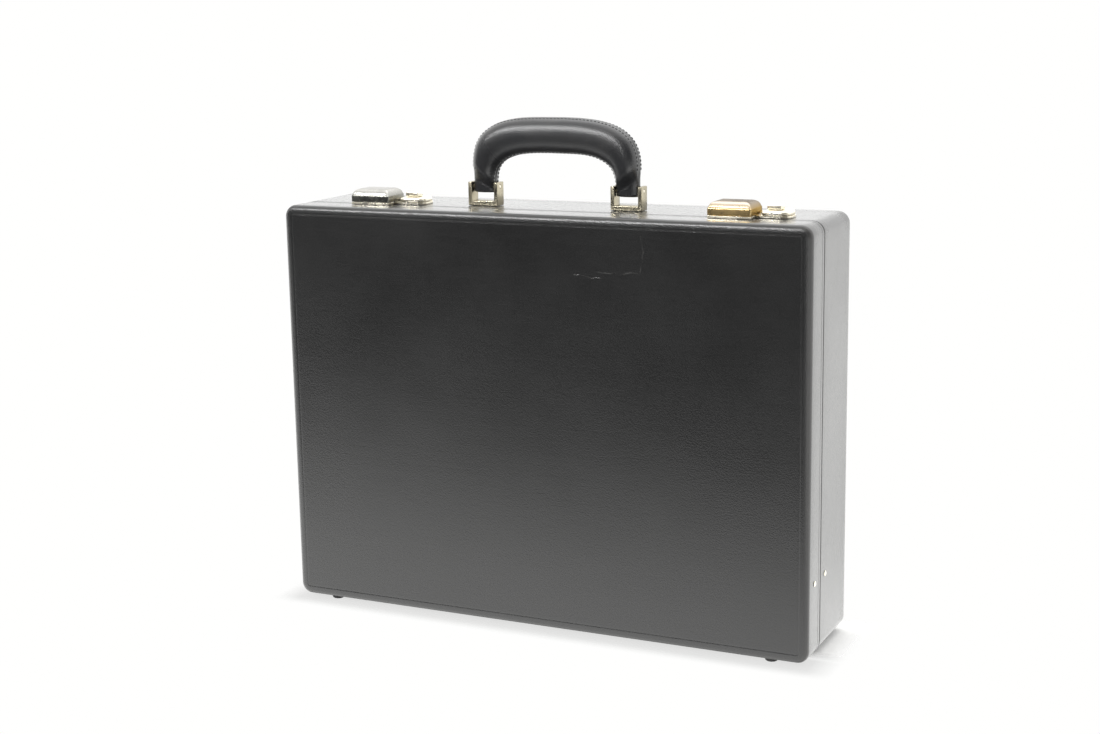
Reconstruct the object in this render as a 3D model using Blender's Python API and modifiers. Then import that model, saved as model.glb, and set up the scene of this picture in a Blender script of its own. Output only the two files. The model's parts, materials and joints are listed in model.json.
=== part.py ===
"""Hard-sided leather attache case, closed and standing on its hinge side.

Metres, +Z up, +X along the width, the thin lid toward -Y and the deep base toward +Y.
The origin is on the floor, under the middle of the case.
"""
import bpy
import bmesh
from collections import namedtuple
from math import atan2, cos, pi, radians, sin, sqrt
from mathutils import Matrix, Vector

OBJECT_NAME = "leather_briefcase"

# Case body
CASE_WIDTH = 0.430
CASE_HEIGHT = 0.318
CASE_DEPTH = 0.0948
LID_DEPTH = 0.029
FOOT_HEIGHT = 0.003
PARTING_GAP = 0.0005
CORNER_RADIUS = 0.009
EDGE_RADIUS = 0.0045

# Layers of a wall, from the outside in
FIT = 0.0003
LEATHER = 0.0012
BASE_BOARD = 0.0055
LID_BOARD = 0.0040
PANEL = 0.0030
LINING = 0.0008
LIP_THICKNESS = 0.0010
LIP_REACH = 0.0080
LIP_DEPTH = 0.0164

# Feet and hinges under the case
FOOT_X = 0.185
FOOT_RADIUS = 0.0050
BASE_FOOT_INSET = 0.0150
LID_FOOT_INSET = 0.0095
HINGE_X = 0.120
HINGE_LENGTH = 0.050
HINGE_PIN_DROP = 0.0005
KNUCKLE_RADIUS = 0.0016
HINGE_PIN_RADIUS = 0.0008
LEAF_THICKNESS = 0.0010
LEAF_WIDTH = 0.0125

# Handle and its brackets
HANDLE_Y = -0.0018
BRACKET_X = 0.0595
BRACKET_WIDTH = 0.0250
BRACKET_DEPTH = 0.0110
BRACKET_HEIGHT = 0.0183
BRACKET_POST = 0.0030
BRACKET_BAR = 0.0038
PIVOT_RISE = 0.0148
PIVOT_RADIUS = 0.0015
GRIP_LEG_WIDTH = 0.0183
GRIP_MIDDLE_DEPTH = 0.0200
GRIP_END_DEPTH = 0.0094
GRIP_END_DROP = 0.0044
GRIP_OUTER_SPRING = 0.0250
GRIP_OUTER_RISE = 0.0428
GRIP_INNER_SPRING = 0.0140
GRIP_INNER_RISE = 0.0275
CORE_WIDTH = 0.0120
CORE_THICKNESS = 0.0024
CORE_EYE_RADIUS = 0.0031

# Locks, both with the slide on the right
LOCK_X = 0.1475
HASP_WIDTH = 0.0330
HASP_DEPTH = 0.0250
HASP_FRONT = -0.0285
HASP_TOP = 0.0123
HASP_WALL = 0.0012
HASP_PIVOT_Y = -0.0060
HASP_PIVOT_RISE = 0.0050
HASP_BEVEL = 0.0055
HASP_HEEL = 0.0024
HASP_SPACE_TOP = 0.0070
HASP_PIN_RADIUS = 0.0010
PLATE_TOP = 0.0020
PLATE_BACK = 0.0030
EAR_OFFSET = 0.0142
HOUSING_START = 0.0208
HOUSING_TOP = 0.0055
LOCK_END = 0.0415
LOCK_END_RADIUS = 0.0070
KNOB_OFFSET = 0.0282
KNOB_TRAVEL = 0.0040
KNOB_SIZE = Vector((0.0105, 0.0090, 0.0035))
KNOB_RISE = 0.0058
STEM_HALF = Vector((0.0020, 0.0011))
BOLT_HALF_DEPTH = 0.0030
BOLT_TIP = 0.0171
LOCK_PEG_RADIUS = 0.0014
LOCK_PEG_Y = -0.0060
LOCK_PEG_XS = (-0.0080, 0.0360)
CATCH_PEG_RADIUS = 0.0012
CATCH_PEG_Y = -0.0245
CATCH_PEG_XS = (-0.0090, 0.0090)

# Lid stays: equal links that make a rhombus with the hinge line
STAY_LENGTH = 0.0594
LID_RIVET_FORWARD = 0.0137
BASE_RIVET_BACK = 0.0113
STAY_THICKNESS = 0.0012
STAY_WIDTH = 0.0080
STAY_INSET = 0.0095
STAY_LAYER_GAP = 0.0004
RIVET_RISE = 0.0009
RIVET_SHANK = 0.0015
RIVET_NECK = 0.0012
ELBOW_SHANK = 0.0014
ELBOW_HEAD = 0.0027

# Places worked out from the sizes above
BOTTOM = FOOT_HEIGHT
TOP = FOOT_HEIGHT + CASE_HEIGHT
SIDE = CASE_WIDTH / 2
BACK_Y = CASE_DEPTH / 2
FRONT_Y = -CASE_DEPTH / 2
PARTING_Y = FRONT_Y + LID_DEPTH
HINGE_AXIS = Vector((0.0, PARTING_Y, BOTTOM - HINGE_PIN_DROP))
HANDLE_AXIS = Vector((0.0, HANDLE_Y, TOP + PIVOT_RISE))
LIP_OFFSET = LEATHER + FIT + BASE_BOARD + FIT

Finish = namedtuple("Finish", "colour roughness metallic")
FINISHES = {
    "black_leather": Finish((0.018, 0.018, 0.020), 0.38, 0.0),
    "black_edge_leather": Finish((0.024, 0.024, 0.026), 0.45, 0.0),
    "poplar_board": Finish((0.56, 0.40, 0.24), 0.65, 0.0),
    "suede_lining": Finish((0.20, 0.15, 0.11), 0.95, 0.0),
    "pale_gold": Finish((0.74, 0.67, 0.49), 0.24, 1.0),
    "plated_steel": Finish((0.62, 0.61, 0.58), 0.30, 1.0),
    "black_rubber": Finish((0.02, 0.02, 0.02), 0.70, 0.0),
}

Shell = namedtuple("Shell", "name sense outer_y mouth_y board parent")


def clear_scene():
    for old in list(bpy.data.objects):
        bpy.data.objects.remove(old, do_unlink=True)


def new_collection(name):
    collection = bpy.data.collections.new(name)
    bpy.context.scene.collection.children.link(collection)
    return collection


def new_material(name):
    finish = FINISHES[name]
    material = bpy.data.materials.new(name)
    material.use_nodes = True
    shader = material.node_tree.nodes["Principled BSDF"]
    shader.inputs["Base Color"].default_value = (*finish.colour, 1.0)
    shader.inputs["Roughness"].default_value = finish.roughness
    shader.inputs["Metallic"].default_value = finish.metallic
    material.diffuse_color = (*finish.colour, 1.0)
    return material


def world_place(obj):
    """Where an unrotated parent stands in the world."""
    place = Vector(obj.location)
    while obj.parent:
        obj = obj.parent
        place += obj.location
    return place


def put(obj, place, parent):
    obj.parent = parent
    obj.location = Vector(place) - (world_place(parent) if parent else Vector())


def joint_empty(name, place, parent=None):
    empty = bpy.data.objects.new(name, None)
    PARTS.objects.link(empty)
    empty.empty_display_size = 0.01
    put(empty, place, parent)
    return empty


def add_part(name, bm, place, finish, parent=None, smooth=True):
    mesh = bpy.data.meshes.new(name)
    bm.to_mesh(mesh)
    bm.free()
    if smooth:
        mesh.shade_smooth()
    part = bpy.data.objects.new(name, mesh)
    PARTS.objects.link(part)
    put(part, place, parent)
    mesh.materials.append(new_material(finish))
    return part


def add_cutter(name, bm, place):
    mesh = bpy.data.meshes.new(name)
    bm.to_mesh(mesh)
    bm.free()
    cutter = bpy.data.objects.new(name, mesh)
    CUTTERS.objects.link(cutter)
    cutter.location = place
    cutter.hide_render = True
    cutter.display_type = 'WIRE'
    return cutter


def combine(part, other, operation):
    boolean = part.modifiers.new(f"{operation.lower()}_{other.name}", 'BOOLEAN')
    boolean.operation = operation
    boolean.object = other
    boolean.solver = 'EXACT'


def round_edges(part, width, segments=3, angle=40):
    bevel = part.modifiers.new("round_edges", 'BEVEL')
    bevel.width = width
    bevel.segments = segments
    bevel.limit_method = 'ANGLE'
    bevel.angle_limit = radians(angle)
    bevel.use_clamp_overlap = True
    part.data.shade_flat()


def cube(low, high):
    """A block between two corners, centred on its own origin, and where that origin goes."""
    low = Vector(low)
    high = Vector(high)
    bm = bmesh.new()
    bmesh.ops.create_cube(bm, size=1.0)
    bmesh.ops.scale(bm, vec=high - low, verts=bm.verts)
    return bm, (low + high) / 2


def add_cube(bm, low, high):
    """Another block in the same mesh, in that mesh's own coordinates."""
    low = Vector(low)
    high = Vector(high)
    size = Matrix.Diagonal((*(high - low), 1.0))
    bmesh.ops.create_cube(bm, size=1.0, matrix=Matrix.Translation((low + high) / 2) @ size)


def add_cylinder(bm, centre, axis, radius, length, segments=16):
    turn = Vector((0, 0, 1)).rotation_difference(Vector(axis)).to_matrix().to_4x4()
    bmesh.ops.create_cone(bm, cap_ends=True, segments=segments, radius1=radius, radius2=radius,
                          depth=length, matrix=Matrix.Translation(centre) @ turn)


def bevel_edges(bm, edges, offset, segments):
    bmesh.ops.bevel(bm, geom=edges, offset=offset, segments=segments, profile=0.5,
                    affect='EDGES', clamp_overlap=False)


def edges_along(bm, axis):
    direction = Vector(axis)
    return [edge for edge in bm.edges
            if abs((edge.verts[1].co - edge.verts[0].co).normalized().dot(direction)) > 0.99]


def top_edges(bm):
    """The edges round a block's top face."""
    top = max(vert.co.z for vert in bm.verts)
    return [edge for edge in bm.edges if all(vert.co.z > top - 0.000001 for vert in edge.verts)]


def block(name, low, high, finish, parent=None, edge=0.0):
    bm, place = cube(low, high)
    part = add_part(name, bm, place, finish, parent, smooth=False)
    if edge:
        round_edges(part, edge)
    return part


def turned(name, profile, place, finish, parent=None, axis='Z', steps=20):
    """A round piece: (radius, height) points from its top to its bottom, turned about its axis."""
    bm = bmesh.new()
    points = [bm.verts.new((radius, 0.0, height)) for radius, height in profile]
    for upper, lower in zip(points, points[1:]):
        bm.edges.new((upper, lower))
    part = add_part(name, bm, place, finish, parent)
    screw = part.modifiers.new("turn", 'SCREW')
    screw.steps = steps
    screw.render_steps = steps
    screw.use_merge_vertices = True
    screw.merge_threshold = 0.00005
    screw.use_smooth_shade = True
    if axis == 'X':
        part.rotation_euler = (0.0, pi / 2, 0.0)
    if axis == '-X':
        part.rotation_euler = (0.0, -pi / 2, 0.0)
    return part


def pin(name, centre, radius, length, finish, parent=None):
    """A plain pin along X."""
    half = length / 2
    chamfer = radius / 4
    profile = [(0.0, half), (radius - chamfer, half), (radius, half - chamfer),
               (radius, chamfer - half), (radius - chamfer, -half), (0.0, -half)]
    return turned(name, profile, centre, finish, parent, axis='X', steps=16)


# ---------------------------------------------------------------- case shells

def shell_box(shell, inset, panel_gap, mouth_gap):
    """The corners of a layer, inset from the walls and drawn back from panel and mouth."""
    ends = (shell.outer_y - shell.sense * panel_gap, shell.mouth_y + shell.sense * mouth_gap)
    low = (inset - SIDE, min(ends), BOTTOM + inset)
    high = (SIDE - inset, max(ends), TOP - inset)
    return low, high


def tray(shell, name, layer, corner, edge, rim, thickness, finish, closed=True):
    """A sheet wrapped round the shell: walls, a panel if closed, and a turned-in rim."""
    bm, place = cube(*shell_box(shell, *layer))
    bevel_edges(bm, edges_along(bm, (0, 1, 0)), corner, 6)
    half = max(abs(vert.co.y) for vert in bm.verts)
    panel = max(bm.faces, key=lambda face: face.calc_center_median().y * shell.sense)
    mouth = min(bm.faces, key=lambda face: face.calc_center_median().y * shell.sense)
    if closed:
        around = [edge_ for edge_ in bm.edges
                  if all(abs(vert.co.y - shell.sense * half) < 1e-6 for vert in edge_.verts)]
        bevel_edges(bm, around, edge, 4)
        mouth = min(bm.faces, key=lambda face: face.calc_center_median().y * shell.sense)
    if rim:
        bmesh.ops.inset_region(bm, faces=[mouth], thickness=rim, use_even_offset=True)
    bmesh.ops.delete(bm, geom=[mouth] if closed else [mouth, panel], context='FACES')
    part = add_part(name, bm, place, finish, shell.parent, smooth=False)
    solidify = part.modifiers.new("thickness", 'SOLIDIFY')
    solidify.thickness = thickness
    solidify.offset = -1.0
    solidify.use_even_offset = True
    solidify.use_quality_normals = True
    return part


def frame_boards(shell, outline):
    """Four boards behind the leather: top and bottom full width, the sides between them."""
    inset = LEATHER + FIT
    low, high = (Vector(corner) for corner in
                 shell_box(shell, inset, LEATHER + FIT + PANEL + FIT, LEATHER + FIT))
    inner_low = low + Vector((shell.board, 0, shell.board))
    inner_high = high - Vector((shell.board, 0, shell.board))
    spans = {
        "top": ((low.x, low.y, inner_high.z), high),
        "bottom": (low, (high.x, high.y, inner_low.z)),
        "left": ((low.x, low.y, inner_low.z + FIT), (inner_low.x, high.y, inner_high.z - FIT)),
        "right": ((inner_high.x, low.y, inner_low.z + FIT), (high.x, high.y, inner_high.z - FIT)),
    }
    boards = {}
    for side, (start, end) in spans.items():
        board = block(f"{shell.name}_board_{side}", start, end, "poplar_board", shell.parent)
        combine(board, outline, 'INTERSECT')
        boards[side] = board
    return boards


def outline_cutter(shell):
    bm, place = cube(*shell_box(shell, LEATHER + FIT, -0.002, -0.002))
    bevel_edges(bm, edges_along(bm, (0, 1, 0)), CORNER_RADIUS - LEATHER - FIT, 6)
    return add_cutter(f"{shell.name}_outline", bm, place)


def build_shell(shell):
    """Leather, boards, panel and lining of one half of the case."""
    board_face = LEATHER + FIT + shell.board
    leather = tray(shell, f"{shell.name}_leather", (0.0, 0.0, 0.0), CORNER_RADIUS, EDGE_RADIUS,
                   board_face, LEATHER, "black_leather")
    boards = frame_boards(shell, outline_cutter(shell))
    panel_inset = EDGE_RADIUS + LEATHER
    panel_low, panel_high = shell_box(shell, panel_inset, LEATHER + FIT, 0.0)
    inner_y = shell.outer_y - shell.sense * (LEATHER + FIT + PANEL)
    outer_y = shell.outer_y - shell.sense * (LEATHER + FIT)
    panel_low = (panel_low[0], min(inner_y, outer_y), panel_low[2])
    panel_high = (panel_high[0], max(inner_y, outer_y), panel_high[2])
    bm, place = cube(panel_low, panel_high)
    bevel_edges(bm, edges_along(bm, (0, 1, 0)), CORNER_RADIUS / 2, 4)
    add_part(f"{shell.name}_panel", bm, place, "poplar_board", shell.parent, smooth=False)
    mouth_gap = LIP_DEPTH - LIP_REACH + FIT if shell.name == "base" else 0.0005
    lining = tray(shell, f"{shell.name}_lining",
                  (board_face + FIT, LEATHER + FIT + PANEL + FIT, mouth_gap),
                  0.0030, 0.0020, 0.0, LINING, "suede_lining")
    return leather, boards, lining


def build_lip(shell):
    """The dust lip: a strip round the base's mouth that reaches into the lid."""
    reach_shell = shell._replace(outer_y=PARTING_Y + LIP_DEPTH - LIP_REACH,
                                 mouth_y=PARTING_Y - LIP_REACH)
    tray(reach_shell, "base_dust_lip", (LIP_OFFSET, 0.0, 0.0), 0.0030, 0.0, 0.0,
         LIP_THICKNESS, "black_edge_leather", closed=False)


def build_pocket(lid):
    """A flat document pocket on the lid's panel, open toward the handle side."""
    wall = 0.0015
    half_width = 0.150
    bottom = 0.050
    top = 0.235
    back = FRONT_Y + LEATHER + FIT + PANEL + FIT + LINING + FIT
    front = back + 0.0090
    pocket = block("lid_pocket", (-half_width, back, bottom), (half_width, front, top),
                   "suede_lining", lid.parent)
    bm, place = cube((wall - half_width, back - wall, bottom + wall),
                     (half_width - wall, front - wall, top + wall))
    combine(pocket, add_cutter("pocket_space", bm, place), 'DIFFERENCE')


# ---------------------------------------------------------------- feet and hinges

def build_feet(base, lid):
    places = {"base": (BACK_Y - BASE_FOOT_INSET, base.parent),
              "lid": (FRONT_Y + LID_FOOT_INSET, lid.parent)}
    height = FOOT_HEIGHT - FIT
    profile = [(0.0, height), (FOOT_RADIUS, height), (FOOT_RADIUS, 0.0016),
               (FOOT_RADIUS - 0.0003, 0.0008), (FOOT_RADIUS - 0.0010, 0.0002),
               (FOOT_RADIUS - 0.0016, 0.0), (0.0, 0.0)]
    for shell_name, (foot_y, parent) in places.items():
        for side, foot_x in (("left", -FOOT_X), ("right", FOOT_X)):
            turned(f"foot_{shell_name}_{side}", profile, (foot_x, foot_y, 0.0), "black_rubber", parent)


def hinge_leaf(name, hinge_x, toward, knuckles, parent):
    """A flat leaf under one shell, with its knuckles round the pin."""
    axis = HINGE_AXIS + Vector((hinge_x, 0, 0))
    leaf_top = HINGE_PIN_DROP - FIT
    clear = KNUCKLE_RADIUS + FIT
    reach = sorted((toward * clear, toward * (clear + LEAF_WIDTH)))
    bm = bmesh.new()
    add_cube(bm, (-HINGE_LENGTH / 2, reach[0], leaf_top - LEAF_THICKNESS),
             (HINGE_LENGTH / 2, reach[1], leaf_top))
    leaf = add_part(name, bm, axis, "pale_gold", parent, smooth=False)
    overlap = 0.0004
    for number, (start, end) in enumerate(knuckles):
        web = sorted((0.0, toward * (clear + overlap)))
        bm = bmesh.new()
        add_cube(bm, (start, web[0], leaf_top - LEAF_THICKNESS), (end, web[1], leaf_top))
        combine(leaf, add_cutter(f"{name}_web_{number}", bm, axis), 'UNION')
        bm = bmesh.new()
        add_cylinder(bm, ((start + end) / 2, 0, 0), (1, 0, 0), KNUCKLE_RADIUS, end - start)
        combine(leaf, add_cutter(f"{name}_knuckle_{number}", bm, axis), 'UNION')
    bm = bmesh.new()
    add_cylinder(bm, (0, 0, 0), (1, 0, 0), HINGE_PIN_RADIUS + 0.00015, HINGE_LENGTH * 1.2)
    combine(leaf, add_cutter(f"{name}_bore", bm, axis), 'DIFFERENCE')


def build_hinges(base, lid, base_leather, lid_leather):
    outer = HINGE_LENGTH / 2
    middle = 0.0090
    for side, hinge_x in (("left", -HINGE_X), ("right", HINGE_X)):
        axis = HINGE_AXIS + Vector((hinge_x, 0, 0))
        hinge_leaf(f"hinge_base_leaf_{side}", hinge_x, 1.0, ((-outer, -middle), (middle, outer)),
                   base.parent)
        hinge_leaf(f"hinge_lid_leaf_{side}", hinge_x, -1.0, ((FIT - middle, middle - FIT),), lid.parent)
        pin(f"hinge_pin_{side}", axis, HINGE_PIN_RADIUS, HINGE_LENGTH, "plated_steel", base.parent)
        bm = bmesh.new()
        add_cylinder(bm, (0, 0, 0), (1, 0, 0), KNUCKLE_RADIUS + 0.0004, HINGE_LENGTH + 0.001)
        groove = add_cutter(f"hinge_groove_{side}", bm, axis)
        combine(base_leather, groove, 'DIFFERENCE')
        combine(lid_leather, groove, 'DIFFERENCE')


# ---------------------------------------------------------------- handle

def arch(half_width, spring, rise, power, turn):
    """A point of a flattened arch: turn 0 at its foot, pi/2 at its crown."""
    return Vector((half_width * cos(turn) ** (2 / power), 0.0,
                   spring + rise * sin(turn) ** (2 / power)))


def handle_rails(end_height, leg_steps=4, arch_steps=10):
    """Pairs of points on the inner and outer side of the right half, from its end to its middle."""
    outer_half = BRACKET_X + GRIP_LEG_WIDTH / 2
    inner_half = BRACKET_X - GRIP_LEG_WIDTH / 2
    outer_spring = GRIP_OUTER_SPRING - PIVOT_RISE
    inner_spring = GRIP_INNER_SPRING - PIVOT_RISE
    rails = []
    for step in range(leg_steps):
        along = step / leg_steps
        inner = Vector((inner_half, 0, end_height + along * (inner_spring - end_height)))
        outer = Vector((outer_half, 0, end_height + along * (outer_spring - end_height)))
        rails.append((inner, outer))
    for step in range(arch_steps + 1):
        along = step / arch_steps
        eased = along ** 1.5 / (along ** 1.5 + (1 - along) ** 1.5)
        turn = eased * pi / 2
        inner = arch(inner_half, inner_spring, GRIP_INNER_RISE, 3.2, turn)
        outer = arch(outer_half, outer_spring, GRIP_OUTER_RISE, 3.1, turn)
        if step == arch_steps:
            inner.x = 0.0
            outer.x = 0.0
        rails.append((inner, outer))
    return rails


def loft(bm, rings, close_end):
    """Skin a row of equal rings; the first is capped, the last too if asked."""
    rows = [[bm.verts.new(point) for point in ring] for ring in rings]
    count = len(rows[0])
    for near, far in zip(rows, rows[1:]):
        for index in range(count):
            following = (index + 1) % count
            bm.faces.new((near[index], near[following], far[following], far[index]))
    bm.faces.new(tuple(reversed(rows[0])))
    if close_end:
        bm.faces.new(rows[-1])
    bmesh.ops.recalc_face_normals(bm, faces=bm.faces)


def oval_ring(inner, outer, depth, power=2.5, count=20):
    """A rounded section between an inner and an outer point, as deep along Y as told."""
    middle = (inner + outer) / 2
    across = (outer - inner) / 2
    ring = []
    for index in range(count):
        turn = 2 * pi * index / count
        reach = abs(cos(turn)) ** (2 / power) * (1 if cos(turn) >= 0 else -1)
        side = abs(sin(turn)) ** (2 / power) * (1 if sin(turn) >= 0 else -1)
        ring.append(middle + across * reach + Vector((0, depth / 2 * side, 0)))
    return ring


def bar_ring(inner, outer, width, thickness):
    """A flat bar's section on the middle line between the two rails."""
    middle = (inner + outer) / 2
    across = (outer - inner).normalized() * width / 2
    deep = Vector((0, thickness / 2, 0))
    return [middle + across + deep, middle - across + deep, middle - across - deep,
            middle + across - deep]


def mirror_half(part):
    mirror = part.modifiers.new("other_half", 'MIRROR')
    mirror.use_axis = (True, False, False)
    mirror.merge_threshold = 0.00005
    mirror.use_mirror_merge = True


def grip_depth(height):
    """Thin where it goes between the bracket's posts, full above them."""
    low = BRACKET_HEIGHT - PIVOT_RISE - 0.0030
    high = low + 0.0140
    share = min(max((height - low) / (high - low), 0.0), 1.0)
    eased = share * share * (3 - 2 * share)
    return GRIP_END_DEPTH + (GRIP_MIDDLE_DEPTH - GRIP_END_DEPTH) * eased


def half_core(clearance):
    """The right half of the steel core, grown by a clearance, in the handle's own axes."""
    bm = bmesh.new()
    width = CORE_WIDTH + 2 * clearance
    thickness = CORE_THICKNESS + 2 * clearance
    rings = [bar_ring(inner, outer, width, thickness) for inner, outer in handle_rails(0.0)]
    loft(bm, rings, close_end=False)
    return bm


def build_handle():
    pivot = joint_empty("handle_pivot", HANDLE_AXIS)
    bores = bmesh.new()
    eye_seats = bmesh.new()
    eyes = bmesh.new()
    eye_bores = bmesh.new()
    for eye_x in (-BRACKET_X, BRACKET_X):
        add_cylinder(bores, (eye_x, 0, 0), (1, 0, 0), PIVOT_RADIUS + FIT, BRACKET_WIDTH)
        add_cylinder(eye_bores, (eye_x, 0, 0), (1, 0, 0), PIVOT_RADIUS + 0.0002, BRACKET_WIDTH)
        add_cylinder(eye_seats, (eye_x, 0, 0), (1, 0, 0), CORE_EYE_RADIUS + FIT, CORE_WIDTH + 2 * FIT)
        add_cylinder(eyes, (eye_x, 0, 0), (1, 0, 0), CORE_EYE_RADIUS, CORE_WIDTH)

    bm = bmesh.new()
    rings = [oval_ring(inner, outer, grip_depth((inner.z + outer.z) / 2))
             for inner, outer in handle_rails(-GRIP_END_DROP)]
    end = rings[0]
    centre = sum(end, Vector()) / len(end)
    tuck = 0.82
    tucked = [centre + (point - centre) * tuck for point in end]
    rings[0] = [point + Vector((0, 0, 0.0012)) for point in end]
    rings.insert(0, tucked)
    loft(bm, rings, close_end=False)
    grip = add_part("handle_grip", bm, HANDLE_AXIS, "black_leather", pivot)
    mirror_half(grip)
    tunnel = add_cutter("core_tunnel", half_core(FIT), HANDLE_AXIS)
    mirror_half(tunnel)
    combine(tunnel, add_cutter("eye_seats", eye_seats, HANDLE_AXIS), 'UNION')
    combine(grip, tunnel, 'DIFFERENCE')
    combine(grip, add_cutter("pivot_bores", bores, HANDLE_AXIS), 'DIFFERENCE')

    core = add_part("handle_core", half_core(0.0), HANDLE_AXIS, "plated_steel", pivot)
    core.data.shade_flat()
    mirror_half(core)
    combine(core, add_cutter("core_eyes", eyes, HANDLE_AXIS), 'UNION')
    combine(core, add_cutter("eye_bores", eye_bores, HANDLE_AXIS), 'DIFFERENCE')


def build_brackets(base_leather, top_board):
    """Square loops on the base's top wall, riveted through it to a plate inside."""
    inner_face = TOP - LEATHER - FIT - BASE_BOARD
    peg_radius = 0.0014
    peg_offset = 0.0075
    plate_half = (0.0115, 0.0048)
    plate_thickness = 0.0012
    holes = bmesh.new()
    for side, bracket_x in (("left", -BRACKET_X), ("right", BRACKET_X)):
        centre = Vector((bracket_x, HANDLE_Y, TOP))
        half_x = BRACKET_WIDTH / 2
        half_y = BRACKET_DEPTH / 2
        bracket = block(f"handle_bracket_{side}",
                        centre + Vector((-half_x, -half_y, FIT)),
                        centre + Vector((half_x, half_y, BRACKET_HEIGHT)), "pale_gold")
        bm, place = cube(centre + Vector((BRACKET_POST - half_x, -half_y * 2, BRACKET_BAR)),
                         centre + Vector((half_x - BRACKET_POST, half_y * 2, BRACKET_HEIGHT * 2)))
        combine(bracket, add_cutter(f"bracket_window_{side}", bm, place), 'DIFFERENCE')
        round_edges(bracket, 0.0004, segments=2, angle=60)
        pegs = bmesh.new()
        peg_foot = inner_face + FIT
        for peg_x in (-peg_offset, peg_offset):
            depth = TOP + BRACKET_BAR / 2 - peg_foot
            add_cylinder(pegs, (peg_x, 0, BRACKET_BAR / 2 - depth / 2), (0, 0, 1), peg_radius, depth)
            add_cylinder(holes, (bracket_x + peg_x, HANDLE_Y, TOP - 0.005), (0, 0, 1),
                         peg_radius + FIT, 0.014)
        combine(bracket, add_cutter(f"bracket_pegs_{side}", pegs, centre), 'UNION')
        bm = bmesh.new()
        add_cylinder(bm, (0, 0, 0), (1, 0, 0), PIVOT_RADIUS + 0.0001, BRACKET_WIDTH * 1.4)
        axis = HANDLE_AXIS + Vector((bracket_x, 0, 0))
        combine(bracket, add_cutter(f"bracket_bore_{side}", bm, axis), 'DIFFERENCE')
        pin(f"handle_pin_{side}", axis, PIVOT_RADIUS, BRACKET_WIDTH - 0.0002, "pale_gold")

        plate_foot = inner_face + FIT / 2
        backing = block(f"bracket_backing_plate_{side}",
                        (bracket_x - plate_half[0], HANDLE_Y - plate_half[1], plate_foot),
                        (bracket_x + plate_half[0], HANDLE_Y + plate_half[1],
                         plate_foot + plate_thickness), "plated_steel")
        bm, place = cube((bracket_x - plate_half[0] - FIT, HANDLE_Y - plate_half[1] - FIT,
                          inner_face - 0.001),
                         (bracket_x + plate_half[0] + FIT, HANDLE_Y + plate_half[1] + FIT,
                          plate_foot + plate_thickness + FIT))
        combine(top_board, add_cutter(f"plate_recess_{side}", bm, place), 'DIFFERENCE')
        plate_holes = bmesh.new()
        for peg_x in (-peg_offset, peg_offset):
            add_cylinder(plate_holes, (bracket_x + peg_x, HANDLE_Y, plate_foot), (0, 0, 1),
                         peg_radius + 0.0001, 0.006)
        combine(backing, add_cutter(f"plate_holes_{side}", plate_holes, (0, 0, 0)), 'DIFFERENCE')
    through = add_cutter("bracket_peg_holes", holes, (0, 0, 0))
    combine(base_leather, through, 'DIFFERENCE')
    combine(top_board, through, 'DIFFERENCE')


# ---------------------------------------------------------------- locks

def pin_bore(side, name, lock_x):
    """The hole along a hasp's hinge line."""
    bm = bmesh.new()
    add_cylinder(bm, (0, 0, 0), (1, 0, 0), HASP_PIN_RADIUS + 0.00015, HASP_WIDTH * 1.2)
    return add_cutter(f"{name}_{side}", bm, (lock_x, HASP_PIVOT_Y, TOP + HASP_PIVOT_RISE))


def hasp(side, lock_x, pivot):
    """The hinged cover of a lock: a pillow-topped box, open below and at its hinge."""
    half = HASP_WIDTH / 2
    foot = TOP + PLATE_TOP + FIT
    back = HASP_FRONT + HASP_DEPTH
    beyond = 0.0020
    bm, place = cube((lock_x - half, HASP_FRONT, foot), (lock_x + half, back, TOP + HASP_TOP))
    bevel_edges(bm, top_edges(bm), HASP_BEVEL, 6)
    part = add_part(f"hasp_{side}", bm, place, "pale_gold", pivot, smooth=False)
    bm, place = cube((lock_x + HASP_WALL - half, HASP_FRONT + HASP_WALL, foot - beyond),
                     (lock_x + half - HASP_WALL, back + beyond, TOP + HASP_SPACE_TOP))
    combine(part, add_cutter(f"hasp_space_{side}", bm, place), 'DIFFERENCE')
    axis = (lock_x, HASP_PIVOT_Y, TOP + HASP_PIVOT_RISE)
    # The heels of the side walls are cut back so that they clear the plate as the hasp turns
    bm = bmesh.new()
    add_cube(bm, (-HASP_WIDTH, HASP_HEEL, -HASP_PIVOT_RISE),
             (HASP_WIDTH, HASP_HEEL + HASP_PIVOT_RISE, HASP_PIVOT_RISE))
    bmesh.ops.rotate(bm, verts=bm.verts, cent=(0, 0, 0), matrix=Matrix.Rotation(radians(-45), 3, 'X'))
    combine(part, add_cutter(f"hasp_heel_{side}", bm, axis), 'DIFFERENCE')
    combine(part, pin_bore(side, "hasp_bore", lock_x), 'DIFFERENCE')
    pin(f"hasp_pin_{side}", axis, HASP_PIN_RADIUS, HASP_WIDTH - 0.0004, "plated_steel")


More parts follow.
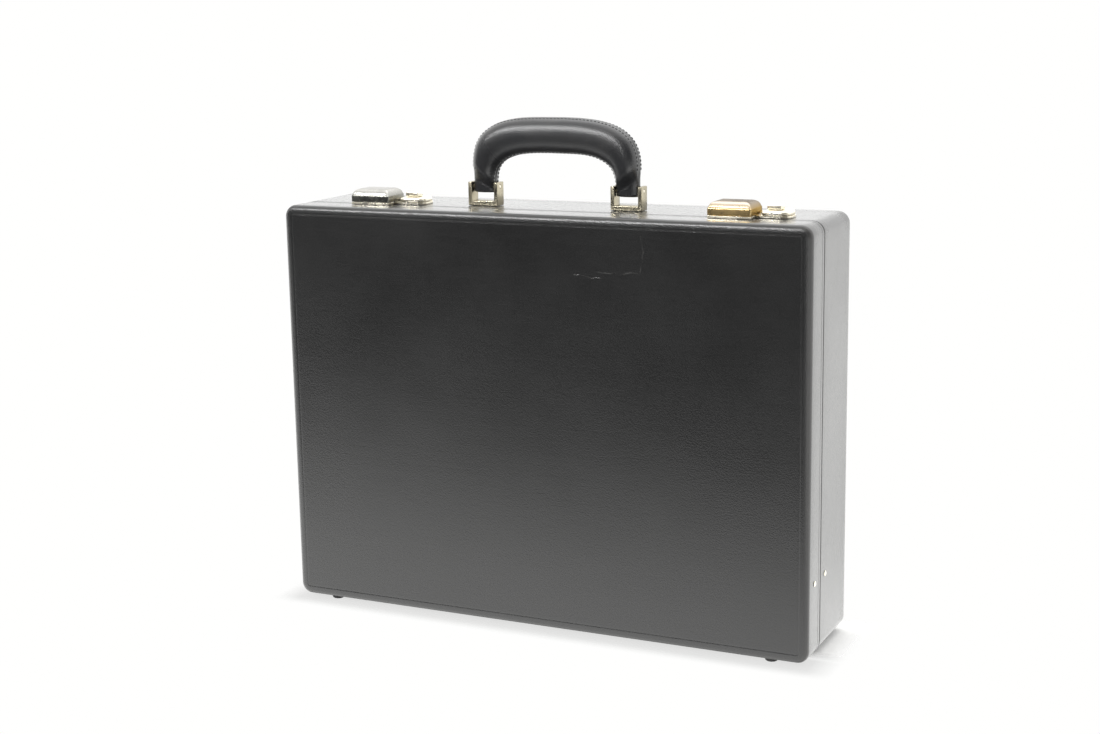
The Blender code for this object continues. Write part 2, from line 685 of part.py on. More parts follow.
def lock_plate(side, lock_x):
    """The plate of a lock on the base's top wall, with two ears that hold the hasp's pin."""
    left = lock_x - HASP_WIDTH / 2
    right = lock_x + LOCK_END
    front = PARTING_Y + 0.0006
    bm, place = cube((left, front, TOP + FIT), (right, PLATE_BACK, TOP + PLATE_TOP))
    right_end = [edge for edge in edges_along(bm, (0, 0, 1)) if edge.verts[0].co.x > 0]
    bevel_edges(bm, right_end, LOCK_END_RADIUS, 6)
    plate = add_part(f"lock_plate_{side}", bm, place, "pale_gold", smooth=False)
    extras = bmesh.new()
    overlap = 0.0008
    ear_half = 0.0006
    ear_front = HASP_PIVOT_Y - 0.0022
    ear_back = HASP_PIVOT_Y + 0.0011
    ear_top = TOP + HASP_PIVOT_RISE + 0.0016
    for ear_x in (lock_x - EAR_OFFSET, lock_x + EAR_OFFSET):
        add_cube(extras, (ear_x - ear_half, ear_front, TOP + PLATE_TOP - overlap),
                 (ear_x + ear_half, ear_back, ear_top))
    for peg_x in LOCK_PEG_XS:
        add_cylinder(extras, (lock_x + peg_x, LOCK_PEG_Y, TOP - 0.0016), (0, 0, 1),
                     LOCK_PEG_RADIUS, 0.0060)
    combine(plate, add_cutter(f"plate_ears_{side}", extras, (0, 0, 0)), 'UNION')
    combine(plate, pin_bore(side, "ear_bore", lock_x), 'DIFFERENCE')


def lock_housing(side, lock_x):
    """The cover over the slide, beside the hasp, with a slot for the knob's stem."""
    low = Vector((lock_x + HOUSING_START, PARTING_Y + 0.0010, TOP + PLATE_TOP + FIT))
    high = Vector((lock_x + LOCK_END - 0.0004, PLATE_BACK - 0.0006, TOP + HOUSING_TOP))
    bm, place = cube(low, high)
    right_end = [edge for edge in edges_along(bm, (0, 0, 1)) if edge.verts[0].co.x > 0]
    bevel_edges(bm, right_end, LOCK_END_RADIUS - 0.0002, 6)
    bevel_edges(bm, top_edges(bm), 0.0016, 4)
    housing = add_part(f"lock_housing_{side}", bm, place, "pale_gold", smooth=False)
    space = bmesh.new()
    knob_x = lock_x + KNOB_OFFSET
    middle_y = (low.y + high.y) / 2
    beyond = 0.0010
    end_wall = 0.0025
    space_half = BOLT_HALF_DEPTH + 0.0005
    add_cube(space, (low.x - beyond, middle_y - space_half, low.z - beyond),
             (high.x - end_wall, middle_y + space_half, TOP + HOUSING_TOP - 0.0009))
    combine(housing, add_cutter(f"slide_space_{side}", space, (0, 0, 0)), 'DIFFERENCE')
    slot = bmesh.new()
    slot_half = STEM_HALF + Vector((0.0004, FIT))
    add_cube(slot, (knob_x - slot_half.x, middle_y - slot_half.y, TOP + 0.0040),
             (knob_x + slot_half.x + KNOB_TRAVEL, middle_y + slot_half.y, TOP + 0.0070))
    combine(housing, add_cutter(f"knob_slot_{side}", slot, (0, 0, 0)), 'DIFFERENCE')
    return middle_y


def slide_knob(side, lock_x, middle_y):
    """The knob, its stem through the slot, and the bolt that runs to the hasp."""
    knob_x = lock_x + KNOB_OFFSET
    foot = TOP + KNOB_RISE
    slide = joint_empty(f"slide_{side}", (knob_x, middle_y, foot))
    knob = block(f"slide_knob_{side}", (knob_x - KNOB_SIZE.x / 2, middle_y - KNOB_SIZE.y / 2, foot),
                 (knob_x + KNOB_SIZE.x / 2, middle_y + KNOB_SIZE.y / 2, foot + KNOB_SIZE.z),
                 "pale_gold", slide, edge=0.0006)
    below = bmesh.new()
    add_cube(below, (knob_x - STEM_HALF.x, middle_y - STEM_HALF.y, TOP + 0.0034),
             (knob_x + STEM_HALF.x, middle_y + STEM_HALF.y, foot + 0.0010))
    combine(knob, add_cutter(f"knob_stem_{side}", below, (0, 0, 0)), 'UNION')
    bolt = bmesh.new()
    add_cube(bolt, (lock_x + BOLT_TIP, middle_y - BOLT_HALF_DEPTH, TOP + PLATE_TOP + 2 * FIT),
             (knob_x + STEM_HALF.x + 0.0004, middle_y + BOLT_HALF_DEPTH, TOP + 0.0042))
    combine(knob, add_cutter(f"knob_bolt_{side}", bolt, (0, 0, 0)), 'UNION')


def slide_spring(side, lock_x, middle_y):
    """The coil behind the bolt, at the length it has with the knob slid over."""
    bolt_end = lock_x + KNOB_OFFSET + STEM_HALF.x + 0.0004
    start = Vector((bolt_end + KNOB_TRAVEL + FIT, middle_y, TOP + 0.00345))
    length = 0.0032
    coil_radius = 0.0008
    turns = 4
    per_turn = 8
    coil = bpy.data.curves.new(f"slide_spring_{side}", 'CURVE')
    coil.dimensions = '3D'
    coil.bevel_depth = 0.00022
    coil.bevel_resolution = 1
    coil.use_fill_caps = True
    spline = coil.splines.new('POLY')
    count = turns * per_turn + 1
    spline.points.add(count - 1)
    for index, point in enumerate(spline.points):
        turn = 2 * pi * index / per_turn
        along = length * index / (count - 1)
        point.co = (along, coil_radius * cos(turn), coil_radius * sin(turn), 1.0)
    spring = bpy.data.objects.new(f"slide_spring_{side}", coil)
    PARTS.objects.link(spring)
    spring.location = start
    coil.materials.append(new_material("plated_steel"))


def lid_catch(side, lock_x, lid):
    """The strike plate on the lid's top wall that the hasp closes over."""
    half = HASP_WIDTH / 2
    back = PARTING_Y - 0.0006
    plate = block(f"lid_catch_{side}", (lock_x - half, HASP_FRONT, TOP + FIT),
                  (lock_x + half, back, TOP + PLATE_TOP), "pale_gold", lid.parent)
    pegs = bmesh.new()
    for peg_x in CATCH_PEG_XS:
        add_cylinder(pegs, (lock_x + peg_x, CATCH_PEG_Y, TOP - 0.0011), (0, 0, 1),
                     CATCH_PEG_RADIUS, 0.0050)
    combine(plate, add_cutter(f"catch_pegs_{side}", pegs, (0, 0, 0)), 'UNION')


def build_locks(base_top, lid_top, lid):
    """Both locks, and the holes for their pegs through leather and boards."""
    base_holes = bmesh.new()
    lid_holes = bmesh.new()
    base_hole_length = 0.0072
    lid_hole_length = 0.0060
    middle_z = TOP - 0.0015
    for side, lock_x in (("left", -LOCK_X), ("right", LOCK_X)):
        pivot = joint_empty(f"hasp_pivot_{side}", (lock_x, HASP_PIVOT_Y, TOP + HASP_PIVOT_RISE))
        hasp(side, lock_x, pivot)
        lock_plate(side, lock_x)
        middle_y = lock_housing(side, lock_x)
        slide_knob(side, lock_x, middle_y)
        slide_spring(side, lock_x, middle_y)
        lid_catch(side, lock_x, lid)
        for peg_x in LOCK_PEG_XS:
            add_cylinder(base_holes, (lock_x + peg_x, LOCK_PEG_Y, middle_z), (0, 0, 1),
                         LOCK_PEG_RADIUS + FIT, base_hole_length)
        for peg_x in CATCH_PEG_XS:
            add_cylinder(lid_holes, (lock_x + peg_x, CATCH_PEG_Y, middle_z), (0, 0, 1),
                         CATCH_PEG_RADIUS + FIT, lid_hole_length)
    base_cutter = add_cutter("lock_peg_holes", base_holes, (0, 0, 0))
    lid_cutter = add_cutter("catch_peg_holes", lid_holes, (0, 0, 0))
    for part in base_top:
        combine(part, base_cutter, 'DIFFERENCE')
    for part in lid_top:
        combine(part, lid_cutter, 'DIFFERENCE')


# ---------------------------------------------------------------- lid stays

def stay_points():
    """The lid rivet, the base rivet and the elbow of a stay, in Y and Z."""
    lid_rivet = Vector((0, -LID_RIVET_FORWARD, sqrt(STAY_LENGTH ** 2 - LID_RIVET_FORWARD ** 2)))
    base_rivet = Vector((0, BASE_RIVET_BACK, sqrt(STAY_LENGTH ** 2 - BASE_RIVET_BACK ** 2)))
    return (HINGE_AXIS + lid_rivet, HINGE_AXIS + base_rivet, HINGE_AXIS + lid_rivet + base_rivet)


def stay_link(name, start, end, layer_x, end_clearance, parent):
    """A flat link with round ends, on its pivot at the start."""
    across = STAY_WIDTH / 2
    bm = bmesh.new()
    add_cube(bm, (-STAY_THICKNESS / 2, -across, -across),
             (STAY_THICKNESS / 2, across, STAY_LENGTH + across))
    bevel_edges(bm, edges_along(bm, (1, 0, 0)), across - 0.0001, 6)
    link = add_part(name, bm, Vector((layer_x, start.y, start.z)), "pale_gold", parent, smooth=False)
    along = end - start
    link.rotation_euler = (atan2(-along.y, along.z), 0.0, 0.0)
    for label, point, radius in (("start", start, RIVET_NECK + 0.0002), ("end", end, end_clearance)):
        bm = bmesh.new()
        add_cylinder(bm, (layer_x, point.y, point.z), (1, 0, 0), radius, 0.003)
        combine(link, add_cutter(f"{name}_{label}_hole", bm, (0, 0, 0)), 'DIFFERENCE')


def stay_rivet(name, place, head_x, link_face, link_thickness, sign, parent):
    """A rivet through the side wall: a domed head outside, a neck and a head inside the link."""
    wall = abs(head_x) - SIDE
    reach = abs(head_x)
    shank = RIVET_SHANK
    neck = RIVET_NECK
    inner_head = 0.0026
    neck_end = link_face - link_thickness - FIT
    heights = [(0.0, reach), (0.0010, reach - 0.0001), (0.0017, reach - 0.0004),
               (0.0021, SIDE + FIT), (shank, SIDE + FIT), (shank, link_face + FIT),
               (neck, link_face + FIT), (neck, neck_end), (inner_head, neck_end),
               (inner_head, neck_end - 0.0006), (0.0, neck_end - 0.0008)]
    profile = [(radius, height - reach + wall) for radius, height in heights]
    turned(name, profile, (sign * (reach - wall), place.y, place.z), "pale_gold", parent,
           axis='X' if sign > 0 else '-X', steps=16)


def build_stays(base, lid, shell_parts):
    lid_rivet, base_rivet, elbow = stay_points()
    base_layer = SIDE - STAY_INSET
    lid_layer = base_layer - STAY_THICKNESS - STAY_LAYER_GAP
    head = SIDE + RIVET_RISE
    holes = bmesh.new()
    for side, sign in (("left", -1.0), ("right", 1.0)):
        base_pivot = joint_empty(f"stay_base_pivot_{side}",
                                 (sign * base_layer, base_rivet.y, base_rivet.z))
        lid_pivot = joint_empty(f"stay_lid_pivot_{side}", (sign * lid_layer, lid_rivet.y, lid_rivet.z),
                                lid.parent)
        stay_link(f"stay_base_link_{side}", base_rivet, elbow, sign * base_layer, ELBOW_SHANK + 0.0002,
                  base_pivot)
        stay_link(f"stay_lid_link_{side}", lid_rivet, elbow, sign * lid_layer, ELBOW_SHANK + 0.0005,
                  lid_pivot)
        stay_rivet(f"stay_base_rivet_{side}", base_rivet, head, base_layer + STAY_THICKNESS / 2,
                   STAY_THICKNESS, sign, base.parent)
        stay_rivet(f"stay_lid_rivet_{side}", lid_rivet, head, lid_layer + STAY_THICKNESS / 2,
                   STAY_THICKNESS, sign, lid.parent)
        outer = base_layer + STAY_THICKNESS / 2 - 0.0001
        inner = lid_layer - STAY_THICKNESS / 2 - FIT
        profile = [(0.0, outer), (ELBOW_SHANK, outer), (ELBOW_SHANK, inner), (ELBOW_HEAD, inner),
                   (ELBOW_HEAD, inner - 0.0006), (0.0, inner - 0.0008)]
        profile = [(radius, height - inner) for radius, height in profile]
        turned(f"stay_elbow_rivet_{side}", profile, (sign * inner, elbow.y, elbow.z), "pale_gold",
               base_pivot, axis='X' if sign > 0 else '-X', steps=16)
        for rivet in (lid_rivet, base_rivet):
            add_cylinder(holes, (sign * SIDE, rivet.y, rivet.z), (1, 0, 0), RIVET_SHANK + FIT, 0.024)
    cutter = add_cutter("stay_rivet_holes", holes, (0, 0, 0))
    for part in shell_parts:
        combine(part, cutter, 'DIFFERENCE')


def build():
    lid_hinge = joint_empty("lid_hinge", HINGE_AXIS)
    base = Shell("base", 1.0, BACK_Y, PARTING_Y + PARTING_GAP / 2, BASE_BOARD, None)
    lid = Shell("lid", -1.0, FRONT_Y, PARTING_Y - PARTING_GAP / 2, LID_BOARD, lid_hinge)
    base_leather, base_boards, base_lining = build_shell(base)
    lid_leather, lid_boards, lid_lining = build_shell(lid)
    build_lip(base)
    build_pocket(lid)
    build_feet(base, lid)
    build_hinges(base, lid, base_leather, lid_leather)
    build_handle()
    build_brackets(base_leather, base_boards["top"])
    build_locks((base_leather, base_boards["top"]), (lid_leather, lid_boards["top"]), lid)
    build_stays(base, lid, (base_leather, base_boards["left"], base_boards["right"], base_lining,
                            lid_leather, lid_boards["left"], lid_boards["right"], lid_lining))


clear_scene()
PARTS = new_collection(OBJECT_NAME)
CUTTERS = new_collection("cutters")
build()
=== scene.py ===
"""Looks of the hard-sided leather attache case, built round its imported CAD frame.

Metres, +Z up, +X along the width, the thin lid toward -Y. Every size is the CAD's own.
"""

import json
from bisect import bisect_left
from math import cos, exp, pi, radians, sin, sqrt

import bmesh
import bpy
from mathutils import Matrix, Vector, noise
from mathutils.bvhtree import BVHTree

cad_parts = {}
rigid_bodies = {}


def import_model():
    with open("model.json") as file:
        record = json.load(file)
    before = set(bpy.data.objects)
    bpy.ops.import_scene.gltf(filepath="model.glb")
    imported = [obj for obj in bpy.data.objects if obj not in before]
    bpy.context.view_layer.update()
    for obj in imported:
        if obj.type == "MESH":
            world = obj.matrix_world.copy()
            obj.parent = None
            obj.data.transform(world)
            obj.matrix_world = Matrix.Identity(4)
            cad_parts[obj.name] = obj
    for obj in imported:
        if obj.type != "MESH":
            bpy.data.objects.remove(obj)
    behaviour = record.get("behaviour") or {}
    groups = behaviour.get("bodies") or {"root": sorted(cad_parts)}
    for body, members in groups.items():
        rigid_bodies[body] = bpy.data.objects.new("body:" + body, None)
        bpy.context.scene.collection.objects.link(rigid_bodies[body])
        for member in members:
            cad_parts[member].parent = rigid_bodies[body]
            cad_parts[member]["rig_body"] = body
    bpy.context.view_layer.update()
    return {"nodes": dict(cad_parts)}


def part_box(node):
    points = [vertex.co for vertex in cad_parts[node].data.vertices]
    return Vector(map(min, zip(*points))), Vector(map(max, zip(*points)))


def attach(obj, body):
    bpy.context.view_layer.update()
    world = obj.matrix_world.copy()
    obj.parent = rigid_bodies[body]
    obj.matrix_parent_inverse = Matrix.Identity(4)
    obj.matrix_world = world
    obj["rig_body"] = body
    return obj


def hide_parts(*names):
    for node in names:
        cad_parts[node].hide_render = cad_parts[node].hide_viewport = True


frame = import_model()
NODES = frame["nodes"]
SCENE = bpy.context.scene

# ---- sizes shared with the CAD

SIDE = 0.215
BOTTOM = 0.003
TOP = 0.321
MIDDLE_Z = (BOTTOM + TOP) / 2
HALF_HEIGHT = (TOP - BOTTOM) / 2
FRONT_Y = -0.0474
BACK_Y = 0.0474
PARTING_Y = -0.0184
HALF_GAP = 0.00025
CORNER_RADIUS = 0.009
LEATHER = 0.0012
HANDLE_Y = -0.0018
PIVOT_Z = TOP + 0.0148
BRACKET_X = 0.0595
LOCK_X = 0.1475
SIDES = (("left", -1), ("right", 1))


# ---- shader building

CELL_SMOOTHNESS = 0.4
COAT_ROUGHNESS = 0.21
RUBBED_COAT_ROUGHNESS = 0.46
RUBBED_LEATHER = (0.085, 0.076, 0.068)
SCRATCHED_LEATHER = (0.075, 0.072, 0.068)
SCRATCH_DEPTH = 0.00005
# each scratch on the lid: axis across it, axis along it, its place across, its two ends, its width
SCRATCHES = (
    (0, 2, 0.0872, 0.2815, 0.3095, 0.00060),
    (2, 0, 0.2815, 0.0520, 0.0865, 0.00050),
    (2, 0, 0.2772, 0.0340, 0.0580, 0.00042),
    (2, 0, 0.3150, 0.0910, 0.0985, 0.00040),
)


class Nodes:
    """Short ways to add nodes to a node tree; place is where a point lies."""

    def __init__(self, tree, coordinates):
        self.tree = tree
        self.place = self.add("ShaderNodeTexCoord").outputs[coordinates]

    def add(self, kind, **settings):
        node = self.tree.nodes.new(kind)
        for key, value in settings.items():
            setattr(node, key, value)
        return node

    def link(self, source, target):
        self.tree.links.new(source, target)

    def put(self, socket, value):
        """Set a socket to a number or colour, or link it from another one."""
        if isinstance(value, bpy.types.NodeSocket):
            self.link(value, socket)
        else:
            socket.default_value = value

    def fill(self, node, **values):
        """Put values into a node's named inputs, and return the node."""
        for socket, value in values.items():
            self.put(node.inputs[socket.replace("_", " ")], value)
        return node

    def math(self, operation, first, second=0.0):
        node = self.add("ShaderNodeMath", operation=operation)
        self.put(node.inputs[0], first)
        self.put(node.inputs[1], second)
        return node.outputs[0]

    def plus(self, first, second):
        return self.math('ADD', first, second)

    def minus(self, first, second):
        return self.math('SUBTRACT', first, second)

    def times(self, first, second):
        return self.math('MULTIPLY', first, second)

    def most(self, first, second):
        return self.math('MAXIMUM', first, second)

    def ramp(self, value, low, high, out_low=0.0, out_high=1.0, smooth=False):
        node = self.add("ShaderNodeMapRange", clamp=True)
        if smooth:
            node.interpolation_type = 'SMOOTHSTEP'
        self.fill(node, Value=value, From_Min=low, From_Max=high, To_Min=out_low, To_Max=out_high)
        return node.outputs["Result"]

    def axes(self):
        return self.fill(self.add("ShaderNodeSeparateXYZ"), Vector=self.place).outputs


class Shader(Nodes):
    """A material built round one principled shader."""

    def __init__(self, name, colour, roughness, metallic=0.0, **sockets):
        self.material = bpy.data.materials.new(name)
        self.material.use_nodes = True
        super().__init__(self.material.node_tree, "Object")
        self.bsdf = self.tree.nodes["Principled BSDF"]
        self.fill(self.bsdf, Base_Color=(*colour, 1.0), Roughness=roughness, Metallic=metallic, **sockets)
        self.material.diffuse_color = (*colour, 1.0)

    def stretched(self, scale, turn=(0.0, 0.0, 0.0)):
        node = self.add("ShaderNodeMapping")
        return self.fill(node, Scale=scale, Rotation=turn, Vector=self.place).outputs["Vector"]

    def noise(self, scale, detail=3.0, roughness=0.55, vector=None, distortion=0.0):
        node = self.fill(self.add("ShaderNodeTexNoise"), Scale=scale, Detail=detail, Roughness=roughness,
                         Distortion=distortion, Vector=vector or self.place)
        return node.outputs["Fac"]

    def wander(self, scale, detail, reach):
        """Noise about zero, as wide as its reach."""
        return self.times(self.minus(self.noise(scale, detail), 0.5), reach)

    def cells(self, scale, feature='F1', vector=None):
        node = self.add("ShaderNodeTexVoronoi", feature=feature)
        if feature == 'SMOOTH_F1':
            self.fill(node, Smoothness=CELL_SMOOTHNESS)
        return self.fill(node, Scale=scale, Vector=vector or self.place).outputs["Distance"]

    def mix(self, share, first, second):
        """Mix two colours."""
        node = self.add("ShaderNodeMix", data_type='RGBA', clamp_factor=True)
        self.put(node.inputs["Factor"], share)
        for socket, value in ((node.inputs[6], first), (node.inputs[7], second)):
            self.put(socket, (*value, 1.0) if isinstance(value, tuple) else value)
        return node.outputs[2]

    def blend(self, share, first, second):
        """Mix two shaders."""
        node = self.add("ShaderNodeMixShader")
        for socket, source in zip(node.inputs, (share, first, second)):
            self.link(source, socket)
        return node.outputs[0]

    def worn(self):
        return self.add("ShaderNodeAttribute", attribute_name="wear").outputs["Fac"]

    def bumps(self, *layers):
        """Stack height fields, each with its depth in metres."""
        normal = None
        for height, depth in layers:
            node = self.fill(self.add("ShaderNodeBump"), Strength=1.0, Distance=depth, Height=height)
            if normal:
                self.fill(node, Normal=normal)
            normal = node.outputs["Normal"]
        self.fill(self.bsdf, Normal=normal)
        if self.bsdf.inputs["Coat Weight"].default_value > 0:
            self.fill(self.bsdf, Coat_Normal=normal)


def scaled(colour, share):
    return tuple(share * part for part in colour)


def line_mask(s, axes, across, along, at, start, end, width, wander):
    """1 on a wandering hairline: across and along name the axes, start and end its reach."""
    offset = s.minus(axes[across], at)
    offset = s.plus(offset, wander)
    near = s.ramp(s.math('ABSOLUTE', offset), width * 0.35, width, 1.0, 0.0, smooth=True)
    middle = (start + end) / 2
    half = abs(end - start) / 2
    reach = s.math('ABSOLUTE', s.minus(axes[along], middle))
    return s.times(near, s.ramp(reach, half * 0.9, half, 1.0, 0.0))


def leather_material(name, base, light, roughness, grain_scale, grain_depth, coat, scratched=False):
    """Smooth pressed calf: fine pebble grain, pores, faint creases, rubbed edges."""
    s = Shader(f"{name}_look", base, roughness, Specular_IOR_Level=0.30, Coat_Weight=coat,
               Coat_Roughness=COAT_ROUGHNESS)
    small = s.wander(grain_scale * 0.4, 2.0, 0.9 / grain_scale)
    shift = s.fill(s.add("ShaderNodeCombineXYZ"), X=small, Y=small, Z=small)
    warped = s.add("ShaderNodeVectorMath", operation='ADD')
    s.link(s.place, warped.inputs[0])
    s.link(shift.outputs[0], warped.inputs[1])
    pebbles = s.cells(grain_scale, 'SMOOTH_F1', warped.outputs[0])
    pebbles = s.ramp(pebbles, 0.15, 0.75, 1.0, 0.0, smooth=True)
    pores = s.noise(grain_scale * 3.1, 2.0)
    creases = s.noise(1.0, 4.0, 0.6, s.stretched((45.0, 430.0, 620.0)), 0.4)
    streaks = s.noise(1.0, 3.0, 0.55, s.stretched((10.0, 70.0, 85.0)))
    cloudy = s.noise(9.0, 4.0, 0.6)
    blotches = s.noise(38.0, 3.0, 0.6)
    rub = s.times(s.worn(), s.ramp(blotches, 0.35, 0.62))
    rub = s.times(rub, s.ramp(pores, 0.38, 0.60))
    between = tuple(0.5 * (a + b) for a, b in zip(base, light))
    tone = s.mix(s.ramp(cloudy, 0.36, 0.66), base, between)
    tone = s.mix(s.times(s.ramp(pebbles, 0.0, 1.0), 0.35), tone, light)
    tone = s.mix(s.times(rub, 0.40), tone, RUBBED_LEATHER)
    polish = s.ramp(cloudy, 0.30, 0.72, roughness - 0.05, roughness + 0.07)
    polish = s.plus(polish, s.times(s.ramp(creases, 0.35, 0.7), 0.05))
    polish = s.plus(polish, s.times(rub, 0.10))
    layers = [(streaks, grain_depth * 1.1), (creases, grain_depth * 0.50), (pebbles, grain_depth),
              (pores, grain_depth * 0.35)]
    if scratched:
        axes = s.axes()
        wander = s.plus(s.wander(55.0, 3.0, 0.0100), s.wander(420.0, 2.0, 0.0014))
        marks = line_mask(s, axes, *SCRATCHES[0], wander)
        for scratch in SCRATCHES[1:]:
            marks = s.most(marks, line_mask(s, axes, *scratch, wander))
        marks = s.times(marks, s.ramp(axes[1], FRONT_Y + 0.004, FRONT_Y + 0.002))
        marks = s.times(marks, s.ramp(s.noise(150.0, 3.0), 0.38, 0.60, 0.10, 1.0))
        tone = s.mix(s.times(marks, 0.30), tone, SCRATCHED_LEATHER)
        polish = s.plus(polish, s.times(marks, 0.14))
        layers.insert(0, (marks, -SCRATCH_DEPTH))
    coat_rough = s.ramp(s.worn(), 0.0, 1.0, COAT_ROUGHNESS, RUBBED_COAT_ROUGHNESS)
    s.fill(s.bsdf, Base_Color=tone, Roughness=polish, Coat_Roughness=coat_rough)
    s.bumps(*layers)
    return s.material


def suede_material(name, dark, light):
    """Brushed suede: short matted nap, lighter where it lies the other way."""
    s = Shader(f"{name}_look", light, 0.95, Sheen_Weight=0.35, Sheen_Roughness=0.45)
    nap = s.noise(1.0, 4.0, 0.7, s.stretched((900.0, 900.0, 520.0), (0.3, 0.2, 0.5)))
    fuzz = s.noise(3400.0, 2.0, 0.6)
    swipes = s.noise(14.0, 5.0, 0.65, distortion=1.2)
    flecks = s.ramp(s.cells(1300.0), 0.0, 0.22, 1.0, 0.0)
    tone = s.mix(s.ramp(swipes, 0.34, 0.66), dark, light)
    tone = s.mix(s.times(s.ramp(nap, 0.35, 0.7), 0.45), tone,
                 scaled(light, 1.35))
    tone = s.mix(s.times(flecks, 0.25), tone, scaled(dark, 0.6))
    # Darker where the wear value is high: rubbing at the mouth and the pocket's hem, and painted shade in
    # the lining's fold and the crease beside it.
    tone = s.mix(s.times(s.worn(), 0.30), tone, scaled(dark, 0.55))
    s.fill(s.bsdf, Base_Color=tone, Roughness=s.ramp(swipes, 0.3, 0.7, 0.88, 1.0))
    s.bumps((nap, 0.00025), (fuzz, 0.00012))
    return s.material


def metal_material(name, bright, deep, roughness, brushed=(1.0, 1.0, 1.0), spots=0.5, edge=1.0,
                   rubbed=None):
    """Plated metal: fine brushing, hairline scratches, plating dulled in clouds and rubbed pale; on the
    hasps' tops the pale rubbed colour is also a painted highlight.
    """
    s = Shader(f"{name}_look", bright, roughness, 1.0, Specular_Tint=(edge, edge, edge, 1.0))
    lines = s.noise(1.0, 3.0, 0.6, s.stretched(tuple(420.0 * v for v in brushed)))
    haze = s.noise(95.0, 4.0, 0.6)
    tarnish = s.noise(260.0, 4.0, 0.65, distortion=0.6)
    turned = s.stretched((260.0, 5200.0, 900.0), (0.35, 0.8, 0.6))
    scratches = s.ramp(s.noise(1.0, 2.0, 0.5, turned), 0.70, 0.76)
    pits = s.ramp(s.cells(1500.0), 0.05, 0.12, 1.0, 0.0)
    tone = s.mix(s.times(s.ramp(haze, 0.35, 0.7), spots), bright, deep)
    tone = s.mix(s.times(s.ramp(tarnish, 0.56, 0.74), 0.35 * spots), tone,
                 scaled(deep, 0.62))
    # Paler where the wear value is high: rubbing, and on the hasps' domed tops a painted highlight as well.
    if rubbed:
        share = s.times(s.worn(), s.ramp(haze, 0.25, 0.50, 0.75, 1.0))
        tone = s.mix(share, tone, rubbed)
    polish = s.ramp(haze, 0.32, 0.70, roughness * 0.75, roughness * 1.35)
    polish = s.plus(polish, s.times(scratches, 0.12))
    polish = s.plus(polish, s.times(pits, 0.10))
    s.fill(s.bsdf, Base_Color=tone, Roughness=polish)
    s.bumps((lines, 0.000003), (scratches, -0.000006), (pits, -0.000005))
    return s.material


def rubber_material(name):
    s = Shader(f"{name}_look", (0.022, 0.022, 0.023), 0.72)
    grit = s.noise(1900.0, 3.0)
    dust = s.ramp(s.noise(210.0, 4.0, 0.65), 0.5, 0.72)
    tone = s.mix(s.times(dust, 0.35), (0.020, 0.020, 0.021), (0.10, 0.095, 0.088))
    s.fill(s.bsdf, Base_Color=tone, Roughness=s.ramp(grit, 0.3, 0.7, 0.62, 0.85))
    s.bumps((grit, 0.00006))
    return s.material


def board_material(name):
    s = Shader(f"{name}_look", (0.52, 0.37, 0.22), 0.62)
    grain = s.noise(1.0, 5.0, 0.6, s.stretched((18.0, 260.0, 180.0)), 0.8)
    flecks = s.noise(1.0, 3.0, 0.6, s.stretched((120.0, 1800.0, 900.0)))
    tone = s.mix(s.ramp(grain, 0.32, 0.68), (0.40, 0.27, 0.15), (0.60, 0.44, 0.27))
    tone = s.mix(s.times(s.ramp(flecks, 0.5, 0.7), 0.3), tone, (0.33, 0.21, 0.11))
    s.fill(s.bsdf, Base_Color=tone, Roughness=s.ramp(grain, 0.3, 0.7, 0.55, 0.72))
    s.bumps((grain, 0.00012), (flecks, 0.00006))
    return s.material


def thread_material(name, dark, light):
    """Waxed thread: twisted plies with a dull shine."""
    s = Shader(f"{name}_look", light, 0.48, Sheen_Weight=0.2)
    wave = s.add("ShaderNodeTexWave", wave_type='BANDS', bands_direction='DIAGONAL')
    plies = s.fill(wave, Scale=900.0, Distortion=1.5, Vector=s.place).outputs["Fac"]
    fuzz = s.noise(4200.0, 2.0)
    s.fill(s.bsdf, Base_Color=s.mix(plies, dark, light), Roughness=s.ramp(fuzz, 0.3, 0.7, 0.40, 0.62))
    s.bumps((plies, 0.00008), (fuzz, 0.00003))
    return s.material


BLACK = (0.0052, 0.0052, 0.0054)
BLACK_LIGHT = (0.0115, 0.0115, 0.0118)
RECIPES = (
    (leather_material, "black_leather", BLACK, BLACK_LIGHT, 0.36, 1050.0, 0.000045, 1.0, True),
    (leather_material, "handle_leather", (0.0095, 0.0098, 0.0110), (0.019, 0.020, 0.023), 0.34,
     1350.0, 0.000035, 1.0),
    (leather_material, "black_edge_leather", (0.014, 0.014, 0.0145), (0.030, 0.030, 0.031), 0.46,
     900.0, 0.00006, 0.35),
    (suede_material, "suede_lining", (0.150, 0.108, 0.074), (0.245, 0.184, 0.130)),
    (metal_material, "pale_gold", (0.92, 0.87, 0.74), (0.82, 0.74, 0.57), 0.28, (1.0, 7.0, 7.0)),
    # The next three golds are darker copies of the pale gold, for the right hasp, the left hasp and the
    # handle brackets: painted shade standing for the light each place catches.
    (metal_material, "warm_gold", (0.60, 0.44, 0.215), (0.46, 0.315, 0.13), 0.30, (1.0, 6.0, 8.0),
     0.7, 0.25, (0.55, 0.49, 0.42)),
    (metal_material, "worn_gold", (0.27, 0.27, 0.245), (0.20, 0.195, 0.17), 0.27, (1.0, 6.0, 8.0),
     0.7, 0.7, (0.56, 0.55, 0.52)),
    (metal_material, "bracket_gold", (0.46, 0.42, 0.32), (0.35, 0.31, 0.215), 0.27,
     (1.0, 7.0, 7.0), 0.6, 0.7),
    (metal_material, "plated_steel", (0.66, 0.65, 0.62), (0.50, 0.48, 0.45), 0.28,
     (1.0, 8.0, 8.0)),
    (rubber_material, "black_rubber"),
    (board_material, "poplar_board"),
    (thread_material, "black_thread", (0.010, 0.010, 0.011), (0.050, 0.050, 0.052)),
    (thread_material, "brown_thread", (0.035, 0.022, 0.014), (0.105, 0.070, 0.044)),
)
